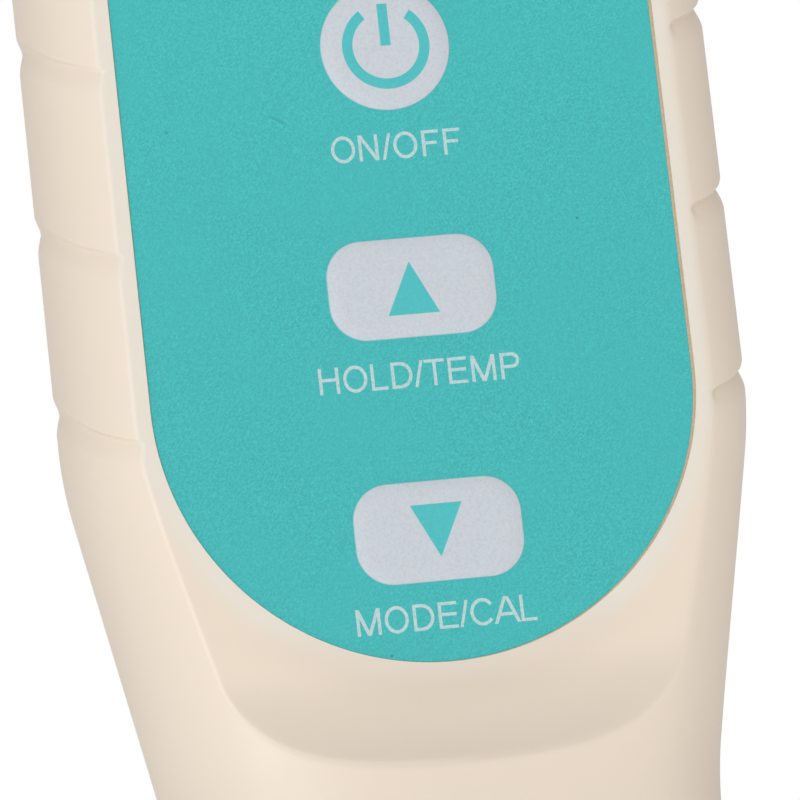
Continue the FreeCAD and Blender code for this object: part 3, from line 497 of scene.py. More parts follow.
@dataclass(frozen=True)
class Laminate(Finish):
    """A circuit board's solder mask, with the weave and buried tracks showing faintly."""

    def build(self, shader: Shader) -> bpy.types.Material:
        """A weave of two crossed waves under broad lighter tracks."""
        x, y, z = shader.place()
        weave = ((x + y) * 5.0).sine() * (z * 5.0).sine()
        tracks = shader.noise(2.2, 0.0, (4.0, 4.0, 0.6)).step(0.52, 0.56)
        colour = shader.blend(tracks * 0.6, self.colour, self.tinted(1.9))
        return shader.finish(colour, self.roughness, 0.5 + 0.5 * weave, 0.004, {"Coat Weight": 0.4})


@dataclass(frozen=True)
class DisplayPane(Finish):
    """A reflective display's pane: grey-green, with a fine dot grain and a soft silvery mottle."""

    def build(self, shader: Shader) -> bpy.types.Material:
        """Grain and mottle in the colour, under a smooth coat."""
        grain = shader.noise(0.09, 2.0)
        mottle = shader.noise(3.0, 3.0)
        colour = shader.blend(0.6 * grain + 0.4 * mottle, self.tinted(0.92), self.tinted(1.08))
        return shader.finish(colour, self.roughness, grain, 0.002, {"Coat Weight": 0.6})


class Finishes(Enum):
    """Every finish on the tester."""

    HOUSING = HousingPlastic("housing_cream", (0.835, 0.726, 0.608), 0.42, 0.17, 0.0035, 0.02)
    CAPS = MouldedPlastic("cap_teal", (0.075, 0.395, 0.40), 0.44, 0.17, 0.004, 0.03)
    FILM = PrintedFilm("keypad_film_teal", FILM_COLOUR, 0.55, (-7.3, 110.88, -6.3, 110.3))
    PADS = PrintedInk(
        "pad_pale_grey", (0.60, 0.652, 0.712), 0.5, (0.50, 0.548, 0.60), 0.55, rim=(-11.095, -11.052)
    )
    LEGENDS = PrintedInk("legend_pale_ink", (0.56, 0.69, 0.71), 0.5, (0.28, 0.58, 0.59), 0.75)
    SYMBOLS = PrintedInk("symbol_teal_ink", (0.072, 0.515, 0.545), 0.5, (0.125, 0.555, 0.58), 0.5)
    # The tan stands partly for the adhesive and partly for painted shade in the gap beside the film.
    ADHESIVE_AND_GAP_SHADE = PrintedInk("adhesive_and_gap_shade_tan", (0.54, 0.43, 0.29), 0.6, (0.66, 0.56, 0.42), 0.7)
    DARK = MouldedPlastic("dark_plastic", (0.022, 0.023, 0.025), 0.42, 0.2, 0.006, 0.1)
    PROBE = MouldedPlastic("probe_resin", (0.030, 0.031, 0.034), 0.3, 0.3, 0.004, 0.08)
    RUBBER = MouldedPlastic("seal_rubber", (0.016, 0.016, 0.017), 0.6, 0.1, 0.006, 0.2)
    RIBBON = MouldedPlastic("ribbon_amber", (0.52, 0.25, 0.05), 0.35, 0.4, 0.002, 0.1)
    WINDOW = Clear("window_acrylic", (0.92, 0.95, 0.95), 0.04, 0.05, 0.45)
    CLEAR_CAP = Clear("clear_cap_styrene", (0.80, 0.86, 0.87), 0.12, 0.22, 0.72)
    BULB = Clear("bulb_glass", (0.86, 0.90, 0.92), 0.03, 0.25, 0.75)
    PANE = DisplayPane("display_pane", (0.42, 0.46, 0.40), 0.3)
    SEGMENT = PrintedInk("display_segment", (0.018, 0.021, 0.022), 0.4, (0.05, 0.055, 0.05), 0.3)
    BOARD = Laminate("board_green", (0.012, 0.11, 0.045), 0.35)
    TINNED = Metal("tinned_parts", (0.62, 0.62, 0.60), 0.35)
    STEEL = Metal("stainless_steel", (0.60, 0.60, 0.60), 0.26)
    CELL = Metal("nickel_can", (0.72, 0.72, 0.70), 0.18)
    BRASS = Metal("contact_metal", (0.80, 0.60, 0.26), 0.25)
    CERAMIC = Porous("junction_ceramic", (0.80, 0.79, 0.74), 0.8, 0.25, 0.03)
    SPONGE = Porous("cap_sponge", (0.78, 0.60, 0.22), 0.95, 0.9, 0.5)


# Meshes


def span(node: str) -> Box:
    """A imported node's lowest and highest corners, in millimetres."""
    low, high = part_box(node)
    return np.array(low) / MM, np.array(high) / MM


def ease(share: np.ndarray) -> np.ndarray:
    """A smooth step: held between 0 and 1, level at both."""
    share = np.clip(share, 0.0, 1.0)
    return share * share * (3.0 - 2.0 * share)


def smooth_max(first: np.ndarray, second: np.ndarray, blend: np.ndarray | float) -> np.ndarray:
    """The larger of two heights, rounded off by a parabola where they are within blend of each other."""
    share = np.clip(blend - np.abs(first - second), 0.0, None) / blend
    return np.maximum(first, second) + share * share * blend / 4.0


def add(name: str, data: bpy.types.ID) -> Piece:
    """Puts an object with that data into the scene, at the origin."""
    made = bpy.data.objects.new(name, data)
    bpy.context.scene.collection.objects.link(made)
    return made


def make_piece(name: str, points: np.ndarray, faces: Sequence[Sequence[int]], sharp: float = 30.0) -> Piece:
    """A mesh object with merged doubles, outward faces and smooth shading up to an angle.

    Args:
        name: the object's name.
        points: its vertices, one row each.
        faces: vertex numbers of each face.
        sharp: edges that turn by more than this many degrees stay sharp.

    Returns:
        The object, at the origin.
    """
    mesh = bpy.data.meshes.new(name)
    mesh.from_pydata((np.asarray(points, float) * MM).tolist(), [], faces)
    tidy_mesh(mesh, sharp)
    return add(name, mesh)


def tidy_mesh(mesh: bpy.types.Mesh, sharp: float, outward: bool = True) -> None:
    """Merges doubles, turns faces outwards and sets smooth shading with sharp edges over an angle."""
    work = bmesh.new()
    work.from_mesh(mesh)
    bmesh.ops.remove_doubles(work, verts=work.verts, dist=0.0005 * MM)
    bmesh.ops.dissolve_degenerate(work, edges=work.edges, dist=0.0002 * MM)
    if outward:
        bmesh.ops.recalc_face_normals(work, faces=work.faces)
    work.to_mesh(mesh)
    work.free()
    mesh.shade_smooth()
    mesh.set_sharp_from_angle(angle=math.radians(sharp))


def ring_faces(rows: int, columns: int) -> list[list[int]]:
    """Quads between rows of points that each close on themselves, and a cap on both end rows."""
    row, column = np.meshgrid(np.arange(rows - 1), np.arange(columns), indexing="ij")
    after = (column + 1) % columns
    here, there = row * columns, (row + 1) * columns
    corners = [here + column, here + after, there + after, there + column]
    quads = np.stack(corners, -1).reshape(-1, 4).tolist()
    first = list(range(columns))
    return quads + [first[::-1], [(rows - 1) * columns + i for i in first]]


def loft(name: str, rows: np.ndarray, sharp: float = 30.0) -> Piece:
    """A closed solid through rings of points, an array of rows by columns by three."""
    count, columns = rows.shape[:2]
    return make_piece(name, rows.reshape(-1, 3), ring_faces(count, columns), sharp)


def stand(outline: np.ndarray, y: float) -> np.ndarray:
    """Points in X and Z, set at a Y place."""
    return np.column_stack([outline[:, 0], np.full(len(outline), y), outline[:, 1]])


def prism(name: str, steps: Sequence[tuple[float, np.ndarray]]) -> Piece:
    """A solid along Y, through pairs of a Y place and the outline in X and Z there."""
    return loft(name, np.stack([stand(outline, y) for y, outline in steps]))


def cutter(outline: np.ndarray, y_from: float, y_to: float) -> Piece:
    """A straight block to cut with, between two Y places."""
    return prism("cut", [(y_from, outline), (y_to, outline)])


def y_rod(x: float, z: float, y_from: float, y_to: float, radius: float, turns: int = 64) -> Piece:
    """A round bar along Y."""
    angle = np.linspace(0.0, 2.0 * np.pi, turns, endpoint=False)
    outline = np.column_stack([x + radius * np.cos(angle), z + radius * np.sin(angle)])
    return cutter(outline, y_from, y_to)


def z_rod(y: float, z_from: float, z_to: float, radius: float, turns: int = 96) -> Piece:
    """A round bar along Z, on the tester's middle plane, whose flat ends are fans about its axis."""
    angle = np.linspace(0.0, 2.0 * np.pi, turns, endpoint=False)
    rows = []
    for reach, height in ((0.0, z_from), (radius, z_from), (radius, z_to), (0.0, z_to)):
        around = (reach * np.cos(angle), y + reach * np.sin(angle), np.full(turns, height))
        rows.append(np.column_stack(around))
    return loft("cut", np.stack(rows))


def rounded(x: float, z: float, width: float, height: float, corner: float, steps: int = 12) -> np.ndarray:
    """The outline of a rounded rectangle: four quarter circles joined by straight sides."""
    turn = np.linspace(0.0, np.pi / 2.0, steps)
    quarters = []
    for index, (side, up) in enumerate(((1, 1), (-1, 1), (-1, -1), (1, -1))):
        angle = turn + index * np.pi / 2.0
        middle_x, middle_z = x + side * (width / 2.0 - corner), z + up * (height / 2.0 - corner)
        around = (middle_x + corner * np.cos(angle), middle_z + corner * np.sin(angle))
        quarters.append(np.column_stack(around))
    return np.concatenate(quarters)


def carve(piece: Piece, cutters: Sequence[Piece], sharp: float) -> None:
    """Takes the cutters out of a piece for good and deletes them."""
    for block in cutters:
        step = piece.modifiers.new("cut", "BOOLEAN")
        step.operation = "DIFFERENCE"
        step.solver = "MANIFOLD"
        step.object = block
    bpy.context.view_layer.update()
    shown = piece.evaluated_get(bpy.context.evaluated_depsgraph_get())
    mesh = bpy.data.meshes.new_from_object(shown)
    piece.modifiers.clear()
    old = piece.data
    piece.data = mesh
    bpy.data.meshes.remove(old)
    for block in cutters:
        bpy.data.objects.remove(block)
    mesh.name = piece.name
    tidy_mesh(mesh, sharp, outward=False)


def patch(name: str, sheets: Sequence[np.ndarray], front: float, back: float) -> Piece:
    """Thin flat shapes of one height, each from a grid of points in X and Z, as closed plates.

    Each grid is copied to the front and to the back, and its rim is walled with quads. Neighbours differ in
    height by less than a micron, so that no two faces of crossing strokes share a plane.

    Args:
        name: the object's name.
        sheets: grids of rows by columns by two.
        front: the Y place of the face that shows.
        back: the Y place of the face behind it.

    Returns:
        The plates as one object.
    """
    points, faces, start = [], [], 0
    for index, sheet in enumerate(sheets):
        rows, columns = sheet.shape[:2]
        flat = sheet.reshape(-1, 2)
        lift = 0.0007 * (index % 8)
        points += [stand(flat, front + lift), stand(flat, back + lift)]
        number = np.arange(rows * columns).reshape(rows, columns)
        corners = [number[:-1, :-1], number[:-1, 1:], number[1:, 1:], number[1:, :-1]]
        quads = np.stack(corners, -1).reshape(-1, 4)
        edge = np.concatenate([number[0], number[1:, -1], number[-1, -2::-1], number[-2:0:-1, 0]])
        after = np.roll(edge, -1)
        count = rows * columns
        walls = np.stack([edge, after, after + count, edge + count], -1)
        every = np.concatenate([quads, quads[:, ::-1] + count, walls]) + start
        faces += every.tolist()
        start += 2 * count
    return make_piece(name, np.concatenate(points), faces)


def dress(piece: Piece, body: str, slot: str, finish: Finishes, replaced: Sequence[str] = ()) -> None:
    """Gives a piece its finish and the body that it moves with, and hides the nodes that it stands for."""
    piece.data.materials.clear()
    piece.data.materials.append(finish.value.material())
    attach(piece, body)
    if replaced:
        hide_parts(*replaced)
    log.info("%s: %d faces, rides on %s", piece.name, len(piece.data.polygons), body)


# The housing


@dataclass(frozen=True)
class HousingForm:
    """The housing's cross-sections and its outline, with heights counted from the label's arc centre."""

    arc_z: float
    low_z: float
    high_z: float
    joint_y: float
    plateau_y: float
    label_top_z: float
    half_width: float
    front_reach: float
    rear_reach: float
    neck_half_width: float = 16.3
    taper_start: float = -2.2
    taper_end: float = -23.9
    bend: float = 2.4
    front_power: float = 3.93
    neck_power: float = 3.15
    power_fade: float = 20.0
    rear_power: float = 2.4
    rear_step: float = 0.1
    bend_gap: float = 0.2
    scoop_radius: float = 11.5
    scoop_slope: float = 0.06
    scoop_share: float = 0.9
    crease_blend: float = 0.05
    crease_blend_right: float = 0.3
    ramp_blend: float = 0.3
    ramp_half_width: float = 13.5
    ramp_blend_run: float = 3.0
    groove_first: float = -3.1
    groove_pitch: float = 11.05
    groove_count: int = 6
    groove_flank: float = 1.25
    groove_lip: float = 0.34
    groove_lip_growth: float = 0.075
    groove_lip_reach: float = 12.0
    flank_power: float = 1.5
    groove_soft: float = 0.18
    groove_thin: float = 0.028
    groove_thin_reach: float = 13.0
    groove_start: float = 0.7
    groove_gain: float = 0.7
    groove_gain_reach: float = 10.0
    groove_depth: float = 0.45
    groove_rake: float = 0.35
    rake_bow: float = 0.0443
    bow_reach: float = 10.6
    bow_end: float = 13.5
    groove_fade: float = 0.05
    rake_run: float = 15.0
    rake_below: float = 1.5
    rake_above: float = 0.4
    end_round: float = 0.3
    seam_round: float = 0.14
    crease_shares: Span = (0.44, 0.58)
    share_gap: float = 0.004
    rounds: int = 5
    joint_columns: int = 14

    def width_at(self, z: np.ndarray) -> np.ndarray:
        """Half the width: a straight taper between two bends that are eased by parabolas."""
        slope = (self.half_width - self.neck_half_width) / (self.taper_start - self.taper_end)

        def eased(d: np.ndarray) -> np.ndarray:
            """Zero before the bend and the distance after it."""
            near = (d + self.bend) ** 2 / (4.0 * self.bend)
            return np.where(d <= -self.bend, 0.0, np.where(d >= self.bend, d, near))

        rise = z - self.arc_z
        return self.neck_half_width + slope * (eased(rise - self.taper_end) - eased(rise - self.taper_start))

    def power_at(self, z: np.ndarray) -> np.ndarray:
        """How square the front is: a smooth fall from the grips to the neck."""
        share = ease((self.taper_start - (z - self.arc_z)) / self.power_fade)
        return self.front_power + (self.neck_power - self.front_power) * share

    def floor_at(self, z: np.ndarray) -> np.ndarray:
        """The Y place of the scooped front: flat beside the label, with a circular rise at each end."""
        below = self.arc_z - LABEL_HALF_WIDTH - self.bend_gap - z
        above = z - self.label_top_z - self.bend_gap
        run = np.clip(np.maximum(below, above), 0.0, self.scoop_share * self.scoop_radius)
        rise = self.scoop_radius - np.sqrt(self.scoop_radius**2 - run**2)
        return self.plateau_y - self.scoop_slope * run - rise

    def groove_at(self, row: np.ndarray, back: np.ndarray) -> np.ndarray:
        """How deep the grips are cut: a long flank below the deepest line, and above it a short one.

        Args:
            row: heights of the rows of points.
            back: how far each point lies behind the flat front, since the upper flank widens round the side.

        Returns:
            The depth at every point.
        """
        offset = row - self.arc_z - self.groove_first
        nearest = np.round((offset - self.groove_flank) / self.groove_pitch)
        number = np.clip(nearest, 0, self.groove_count - 1)
        local = offset - number * self.groove_pitch
        low = np.clip(local / self.groove_flank, 0.0, 1.0)
        lip = self.groove_lip + self.groove_lip_growth * np.clip(back, 0.0, self.groove_lip_reach)
        high = ease((self.groove_flank + lip - local) / lip)
        thin = 1.0 - self.groove_thin * np.clip(back, 0.0, self.groove_thin_reach)
        return -self.groove_depth * thin * smooth_max(-(low**self.flank_power), -high, self.groove_soft)

    def right_share(self, back: np.ndarray) -> np.ndarray:
        """The right-hand grips' depth against the left ones': nothing at the crease, most just behind it."""
        far = np.clip(1.0 - back / self.groove_gain_reach, 0.0, 1.0)
        return ease(back / self.groove_start) * (1.0 + self.groove_gain * far)

    def rake_at(self, row: np.ndarray) -> np.ndarray:
        """How steeply a row of points climbs towards the back: level at the housing's ends."""
        first = self.arc_z + self.groove_first
        last = first + (self.groove_count - 1) * self.groove_pitch + 2.0 * self.groove_flank
        below, above = row - first + self.rake_below, last + self.rake_above - row
        return self.groove_rake * ease(np.minimum(below, above) / self.rake_run + 1.0)

    def rows(self) -> np.ndarray:
        """Heights of the rows of points, closer at the bends, the scoop, the grooves and the rims."""
        arc, top = self.arc_z, self.label_top_z
        sets = [np.arange(self.low_z, self.high_z, 0.8), np.arange(arc - 23.5, arc - 15.5, 0.16)]
        sets += [np.arange(arc - 15.5, arc + 1.0, 0.4), np.arange(top, top + 6.5, 0.3)]
        flank = [-0.2, 0.0, 0.15, 0.35, 0.55, 0.75, 0.95, 1.05, 1.1, 1.14]
        lip = [1.2, 1.28, 1.38, 1.5, 1.62, 1.75, 1.9, 2.05, 2.2, 2.35]
        for number in range(self.groove_count):
            sets.append(arc + self.groove_first + number * self.groove_pitch + np.array(flank + lip))
        rim = np.array([0.0, 0.03, 0.08, 0.15, 0.22, self.end_round])
        sets += [self.low_z + rim, self.high_z - rim]
        rows = np.unique(np.round(np.concatenate(sets), 3))
        return rows[(rows >= self.low_z) & (rows <= self.high_z)]

    def surface(self, side: int, columns: int) -> np.ndarray:
        """One shell's outside and the flat of the joint, as rings of points from the foot to the top.

        A point at share t of a quarter lies on the cubic (1-t)^3, 3(1-t)^2 t, 3(1-t) t^2, t^3, with handles
        that bring it close to a superellipse. A smooth maximum then holds the front behind the scoop's floor.

        Args:
            side: -1 for the display side, 1 for the back.
            columns: points along each quarter.

        Returns:
            An array of rows by points by three.
        """
        row = self.rows()[:, None]
        fine = np.linspace(*self.crease_shares, columns // 3)
        plain = np.linspace(0.0, 1.0, columns - columns // 3)
        before, after = plain[plain < fine[0] - self.share_gap], plain[plain > fine[-1] + self.share_gap]
        share = np.concatenate([before, fine, after])
        t = np.concatenate([share, share[-2::-1]])[None, :]
        sign = np.concatenate([np.ones(len(share)), -np.ones(len(share) - 1)])[None, :]
        end = 1.0 - np.clip(np.minimum(row - self.low_z, self.high_z - row) / self.end_round, 0.0, 1.0)
        lip = self.end_round * (1.0 - np.sqrt(1.0 - end**2))
        rake = self.rake_at(row)
        reach = self.front_reach if side < 0 else self.rear_reach
        step = 0.0 if side < 0 else self.rear_step
        z, back = row + np.zeros_like(t), np.zeros_like(row + t)
        for _ in range(self.rounds):
            groove = self.groove_at(row, back) * np.where(sign > 0, self.right_share(back), 1.0)
            power = self.power_at(z) if side < 0 else np.full_like(z, self.rear_power)
            handle = (8.0 * 0.5 ** (1.0 / power) - 4.0) / 3.0
            across = (1 - t) ** 3 + 3 * (1 - t) ** 2 * t + 3 * (1 - t) * t**2 * handle
            outward = 3 * (1 - t) ** 2 * t * handle + 3 * (1 - t) * t**2 + t**3
            half = self.width_at(z) - step - groove - lip
            depth = (reach + self.groove_fade * groove / self.groove_depth - lip) * outward
            y = self.joint_y + side * depth
            back = y - self.plateau_y
            near = np.clip(back, 0.0, self.bow_end)
            z = row + rake * (back + self.rake_bow * near * (self.bow_reach - near))
        seam = np.clip(1.0 - depth / self.seam_round, 0.0, 1.0) ** 2 * self.seam_round
        x = sign * (half * across - seam)
        if side < 0:
            low = self.arc_z - LABEL_HALF_WIDTH
            end = np.clip(np.maximum(low - z, z - self.label_top_z) / self.ramp_blend_run, 0.0, 1.0)
            crease = np.where(sign > 0, self.crease_blend_right, self.crease_blend)
            middle = np.clip(1.0 - (x / self.ramp_half_width) ** 2, 0.0, 1.0)
            blend = crease + (self.ramp_blend - crease) * end * middle
            y = smooth_max(y, self.floor_at(z), blend)
        y = np.where(t == 0.0, self.joint_y, y)
        outside = np.stack([x, y, z], -1)
        cross = np.linspace(0.0, 1.0, self.joint_columns)[None, 1:-1, None]
        back = outside[:, -1:, :] + (outside[:, :1, :] - outside[:, -1:, :]) * cross
        return np.concatenate([outside, back], 1)


@dataclass
class Housing:
    """The two shells, with everything that is cut into them."""

    form: HousingForm
    keypad: "Keypad"
    tube_y: float
    post_x_low: float = 11.3
    post_x_high: float = 15.0
    post_drop: float = 23.5
    post_top_drop: float = 6.5
    counterbore: float = 2.5
    screw_floor: float = 4.5
    socket_hole: float = 9.7
    socket_depth: float = 9.5
    tube_hole: float = 7.5
    tube_depth: float = 12.0
    recess_reach: float = 8.0
    columns: int = 88

    def build_shell(self, side: int, name: str, node: str, cutters: list[Piece]) -> None:
        """One shell, less its cutters and the round holes in both end walls."""
        shell = loft(name, self.form.surface(side, self.columns), WALL_SHARP)
        low, high = self.form.low_z, self.form.high_z
        cutters.append(z_rod(0.0, low - OVERRUN, low + self.socket_depth, self.socket_hole))
        cutters.append(z_rod(self.tube_y, high - self.tube_depth, high + OVERRUN, self.tube_hole))
        carve(shell, cutters, WALL_SHARP)
        dress(shell, "housing", "housing_plastic", Finishes.HOUSING, [node])

    def build_front(self) -> None:
        """The display side: scooped front, label recess, window opening, key pockets and half the grips."""
        start = self.form.plateau_y - self.recess_reach
        recess = cutter(self.keypad.seat(0.0), start, self.keypad.recess_y)
        self.build_shell(-1, "front_housing", "front_shell", [recess, *self.keypad.housing_cutters()])

    def build_rear(self) -> None:
        """The back, with its four sunk screw holes."""
        floor = self.form.joint_y + self.screw_floor
        far = self.form.joint_y + self.form.rear_reach + OVERRUN
        cutters = []
        for side in (-1, 1):
            low = (side * self.post_x_low, self.form.arc_z - self.post_drop)
            high = (side * self.post_x_high, self.form.high_z - self.post_top_drop)
            cutters += [y_rod(x, z, floor, far, self.counterbore) for x, z in (low, high)]
        self.build_shell(1, "rear_housing", "rear_shell", cutters)


# The keypad


class Key(Enum):
    """The three keys, by the body that each moves as."""

    POWER = "power_button"
    UP = "up_button"
    DOWN = "down_button"


@dataclass
class Keypad:
    """The label film, its adhesive edge that also stands for the painted shade of its gap, the legends and
    the cut-outs under them.
    """

    arc_z: float
    top_z: float
    film_y: float
    recess_y: float
    lens: Box
    pane_y: float
    key_boxes: dict[Key, Box]
    top_corner: float = 9.0
    window_width: float = 23.5
    window_height: float = 18.5
    window_corner: float = 1.5
    window_past: float = 0.02
    lens_gap: float = 0.05
    key_gap: float = 0.004
    pocket_gap: float = 0.3
    pocket_depth: float = 0.55
    stem_hole: float = 2.35
    edge: float = 0.03
    seat_gap: float = 0.115
    seat_shift: Span = (0.07, 0.07)
    # The adhesive edge also stands for the painted shade in the gap beside the film.
    adhesive_drop: float = 0.03
    adhesive_gap: float = 0.002
    adhesive_lift: float = 0.004
    ink_height: float = 0.012

    def outline(self, grow: float) -> np.ndarray:
        """The film's outline: half a circle at the foot, straight sides and two round corners at the top."""
        half, top, corner = LABEL_HALF_WIDTH + grow, self.top_z + grow, self.top_corner + grow
        foot = np.linspace(np.pi, 2.0 * np.pi, 120)
        right = np.linspace(0.0, np.pi / 2.0, 36)
        left = np.linspace(np.pi / 2.0, np.pi, 36)
        parts = [(0.0, self.arc_z, half, foot), (half - corner, top - corner, corner, right)]
        parts.append((corner - half, top - corner, corner, left))
        arcs = [np.column_stack([x + r * np.cos(a), z + r * np.sin(a)]) for x, z, r, a in parts]
        return np.concatenate(arcs)

    def seat(self, grow: float) -> np.ndarray:
        """The recess's outline, in which the film lies a little down and to the left."""
        return self.outline(self.seat_gap + grow) + np.array(self.seat_shift)

    def key_outline(self, key: Key, grow: float) -> np.ndarray:
        """A key's outline grown by a margin: a circle or a rounded rectangle, centred on its box."""
        low, high = self.key_boxes[key]
        width, height = high[0] - low[0] + 2 * grow, high[2] - low[2] + 2 * grow
        corner = width / 2.0 if key is Key.POWER else KEY_CORNER + grow
        return rounded(0.0, (low[2] + high[2]) / 2.0, width, height, corner, 24)

    def window(self) -> np.ndarray:
        """The outline of the opening in front of the lens."""
        low, high = self.lens
        middle = (low[2] + high[2]) / 2.0
        return rounded(0.0, middle, self.window_width, self.window_height, self.window_corner)

    def housing_cutters(self) -> list[Piece]:
        """What the shell loses under the film: the lens seat, the window, the key pockets and stem holes."""
        low, high = self.lens
        x, z = (low[0] + high[0]) / 2.0, (low[2] + high[2]) / 2.0
        width, height = high[0] - low[0] + 2 * self.lens_gap, high[2] - low[2] + 2 * self.lens_gap
        start = self.recess_y - OVERLAP
        cutters = [cutter(rounded(x, z, width, height, self.window_corner), start, high[1])]
        cutters.append(cutter(self.window(), start, self.pane_y + self.window_past))
        for key, (low, high) in self.key_boxes.items():
            pocket = self.key_outline(key, self.pocket_gap)
            cutters.append(cutter(pocket, start, self.recess_y + self.pocket_depth))
            end = high[1] + 2.0 * OVERRUN
            cutters.append(y_rod(0.0, (low[2] + high[2]) / 2.0, start, end, self.stem_hole))
        return cutters

    def build_film(self) -> None:
        """The film with a finely rounded edge, and its openings."""
        whole = self.outline(0.0)
        edge = self.film_y + self.edge
        rows = [(self.film_y, self.outline(-self.edge)), (edge, whole), (self.recess_y, whole)]
        film = prism("keypad_film", rows)
        holes = [self.window()] + [self.key_outline(key, self.key_gap) for key in Key]
        start, end = self.film_y - OVERRUN, self.recess_y + OVERRUN
        carve(film, [cutter(hole, start, end) for hole in holes], 30.0)
        dress(film, "housing", "overlay_film", Finishes.FILM, ["front_overlay"])

    def build_adhesive_and_gap_shade(self) -> None:
        """The edge of the adhesive layer, a thin tan line between the film and its recess; the tan is partly
        the adhesive's colour and partly painted shade in the gap.
        """
        outer, inner = self.seat(-self.adhesive_gap), self.outline(self.adhesive_gap)
        front, back = self.film_y + self.adhesive_drop, self.recess_y - self.adhesive_lift
        rings = [(outer, front), (outer, back), (inner, back), (inner, front)]
        points = np.concatenate([stand(outline, y) for outline, y in rings])
        count = len(outer)
        number = np.arange(count)
        after = (number + 1) % count
        faces = []
        for ring in range(4):
            here, there = ring * count, ((ring + 1) % 4) * count
            faces += np.stack([here + number, here + after, there + after, there + number], -1).tolist()
        edge = make_piece("label_adhesive_and_gap_shade", points, faces)
        dress(edge, "housing", "overlay_film", Finishes.ADHESIVE_AND_GAP_SHADE)


@dataclass
class KeyPad:
    """One embossed key: a pad whose rim is rounded over, on a round stem, with a printed symbol."""

    key: Key
    node: str
    low: np.ndarray
    high: np.ndarray
    recess_y: float
    film_y: float
    rim: float = 1.15
    rise: float = 0.2
    swell: float = 2.4
    stem: float = 2.2
    crown_inset: float = 0.6
    sign_lift: float = 0.001
    sign_shift: float = 0.04
    ring_outer: float = 2.6
    ring_inner: float = 1.98
    ring_gap: Span = (33.0, 38.0)
    bar_width: float = 0.6
    bar_length: float = 2.52
    arrow_base: float = 1.53
    arrow_height: float = 1.56
    arrow_tip: float = 0.004
    up_drop: float = 0.06

    @property
    def centre_z(self) -> float:
        """The height of the key's middle."""
        return (self.low[2] + self.high[2]) / 2.0

    def outline(self, inset: float) -> np.ndarray:
        """The pad's outline drawn in by an inset."""
        width, height = self.high[0] - self.low[0] - 2 * inset, self.high[2] - self.low[2] - 2 * inset
        corner = width / 2.0 if self.key is Key.POWER else max(KEY_CORNER - inset, 0.3)
        return rounded(0.0, self.centre_z, width, height, corner, 24)

    def build(self) -> None:
        """Carries the outline up the rim, rise (1 - (1 - s)^swell) high at a share s of the inset."""
        top = self.film_y - self.rise
        rows = [(self.recess_y, self.outline(0.0)), (self.film_y, self.outline(0.0))]
        for share in np.linspace(0.0, 1.0, 15)[1:]:
            height = self.rise * (1.0 - (1.0 - share) ** self.swell)
            rows.append((self.film_y - height, self.outline(self.rim * share)))
        rows.append((top, self.outline(self.rim + self.crown_inset)))
        pad = prism(self.node + "_pad", rows)
        join(pad, [y_rod(0.0, self.centre_z, self.recess_y, self.high[1], self.stem)])
        dress(pad, self.key.value, "key_plastic", Finishes.PADS, [self.node])
        symbol = patch(self.node + "_symbol", self.symbol(), top - self.sign_lift, top + OVERLAP)
        dress(symbol, self.key.value, "overlay_film", Finishes.SYMBOLS)

    def symbol(self) -> list[np.ndarray]:
        """The printed sign: a broken ring with a bar, or a triangle that points up or down."""
        if self.key is Key.POWER:
            return self.power_sign()
        point = 1.0 if self.key is Key.UP else -1.0
        middle = self.centre_z - self.up_drop if self.key is Key.UP else self.centre_z
        half = np.array([self.arrow_base + self.arrow_tip, self.arrow_tip])[:, None]
        wide = half * np.array([-1.0, 1.0])
        tall = point * self.arrow_height * np.array([[-1.0, -1.0], [1.0, 1.0]])
        return [np.stack([wide - self.sign_shift, middle + tall], -1)]

    def power_sign(self) -> list[np.ndarray]:
        """A ring broken at the top by a gap each side of upright, and a bar from its middle to the top."""
        angle = np.radians(np.linspace(90.0 + self.ring_gap[0], 450.0 - self.ring_gap[1], 72))
        radius = np.array([self.ring_inner, self.ring_outer])[:, None]
        centre = np.array([self.sign_shift, self.centre_z])
        ring = np.stack([radius * np.cos(angle), radius * np.sin(angle)], -1)
        half = self.bar_width / 2.0
        x, z = np.meshgrid([-half, half], [0.0, self.bar_length])
        return [centre + ring, centre + np.stack([x, z], -1)]


def join(piece: Piece, others: Sequence[Piece]) -> None:
    """Adds other pieces' meshes to a piece and deletes them."""
    work = bmesh.new()
    for source in (piece, *others):
        work.from_mesh(source.data)
    work.to_mesh(piece.data)
    work.free()
    for source in others:
        bpy.data.objects.remove(source)
    piece.data.shade_smooth()
    piece.data.set_sharp_from_angle(angle=math.radians(30.0))


# Lettering and figures


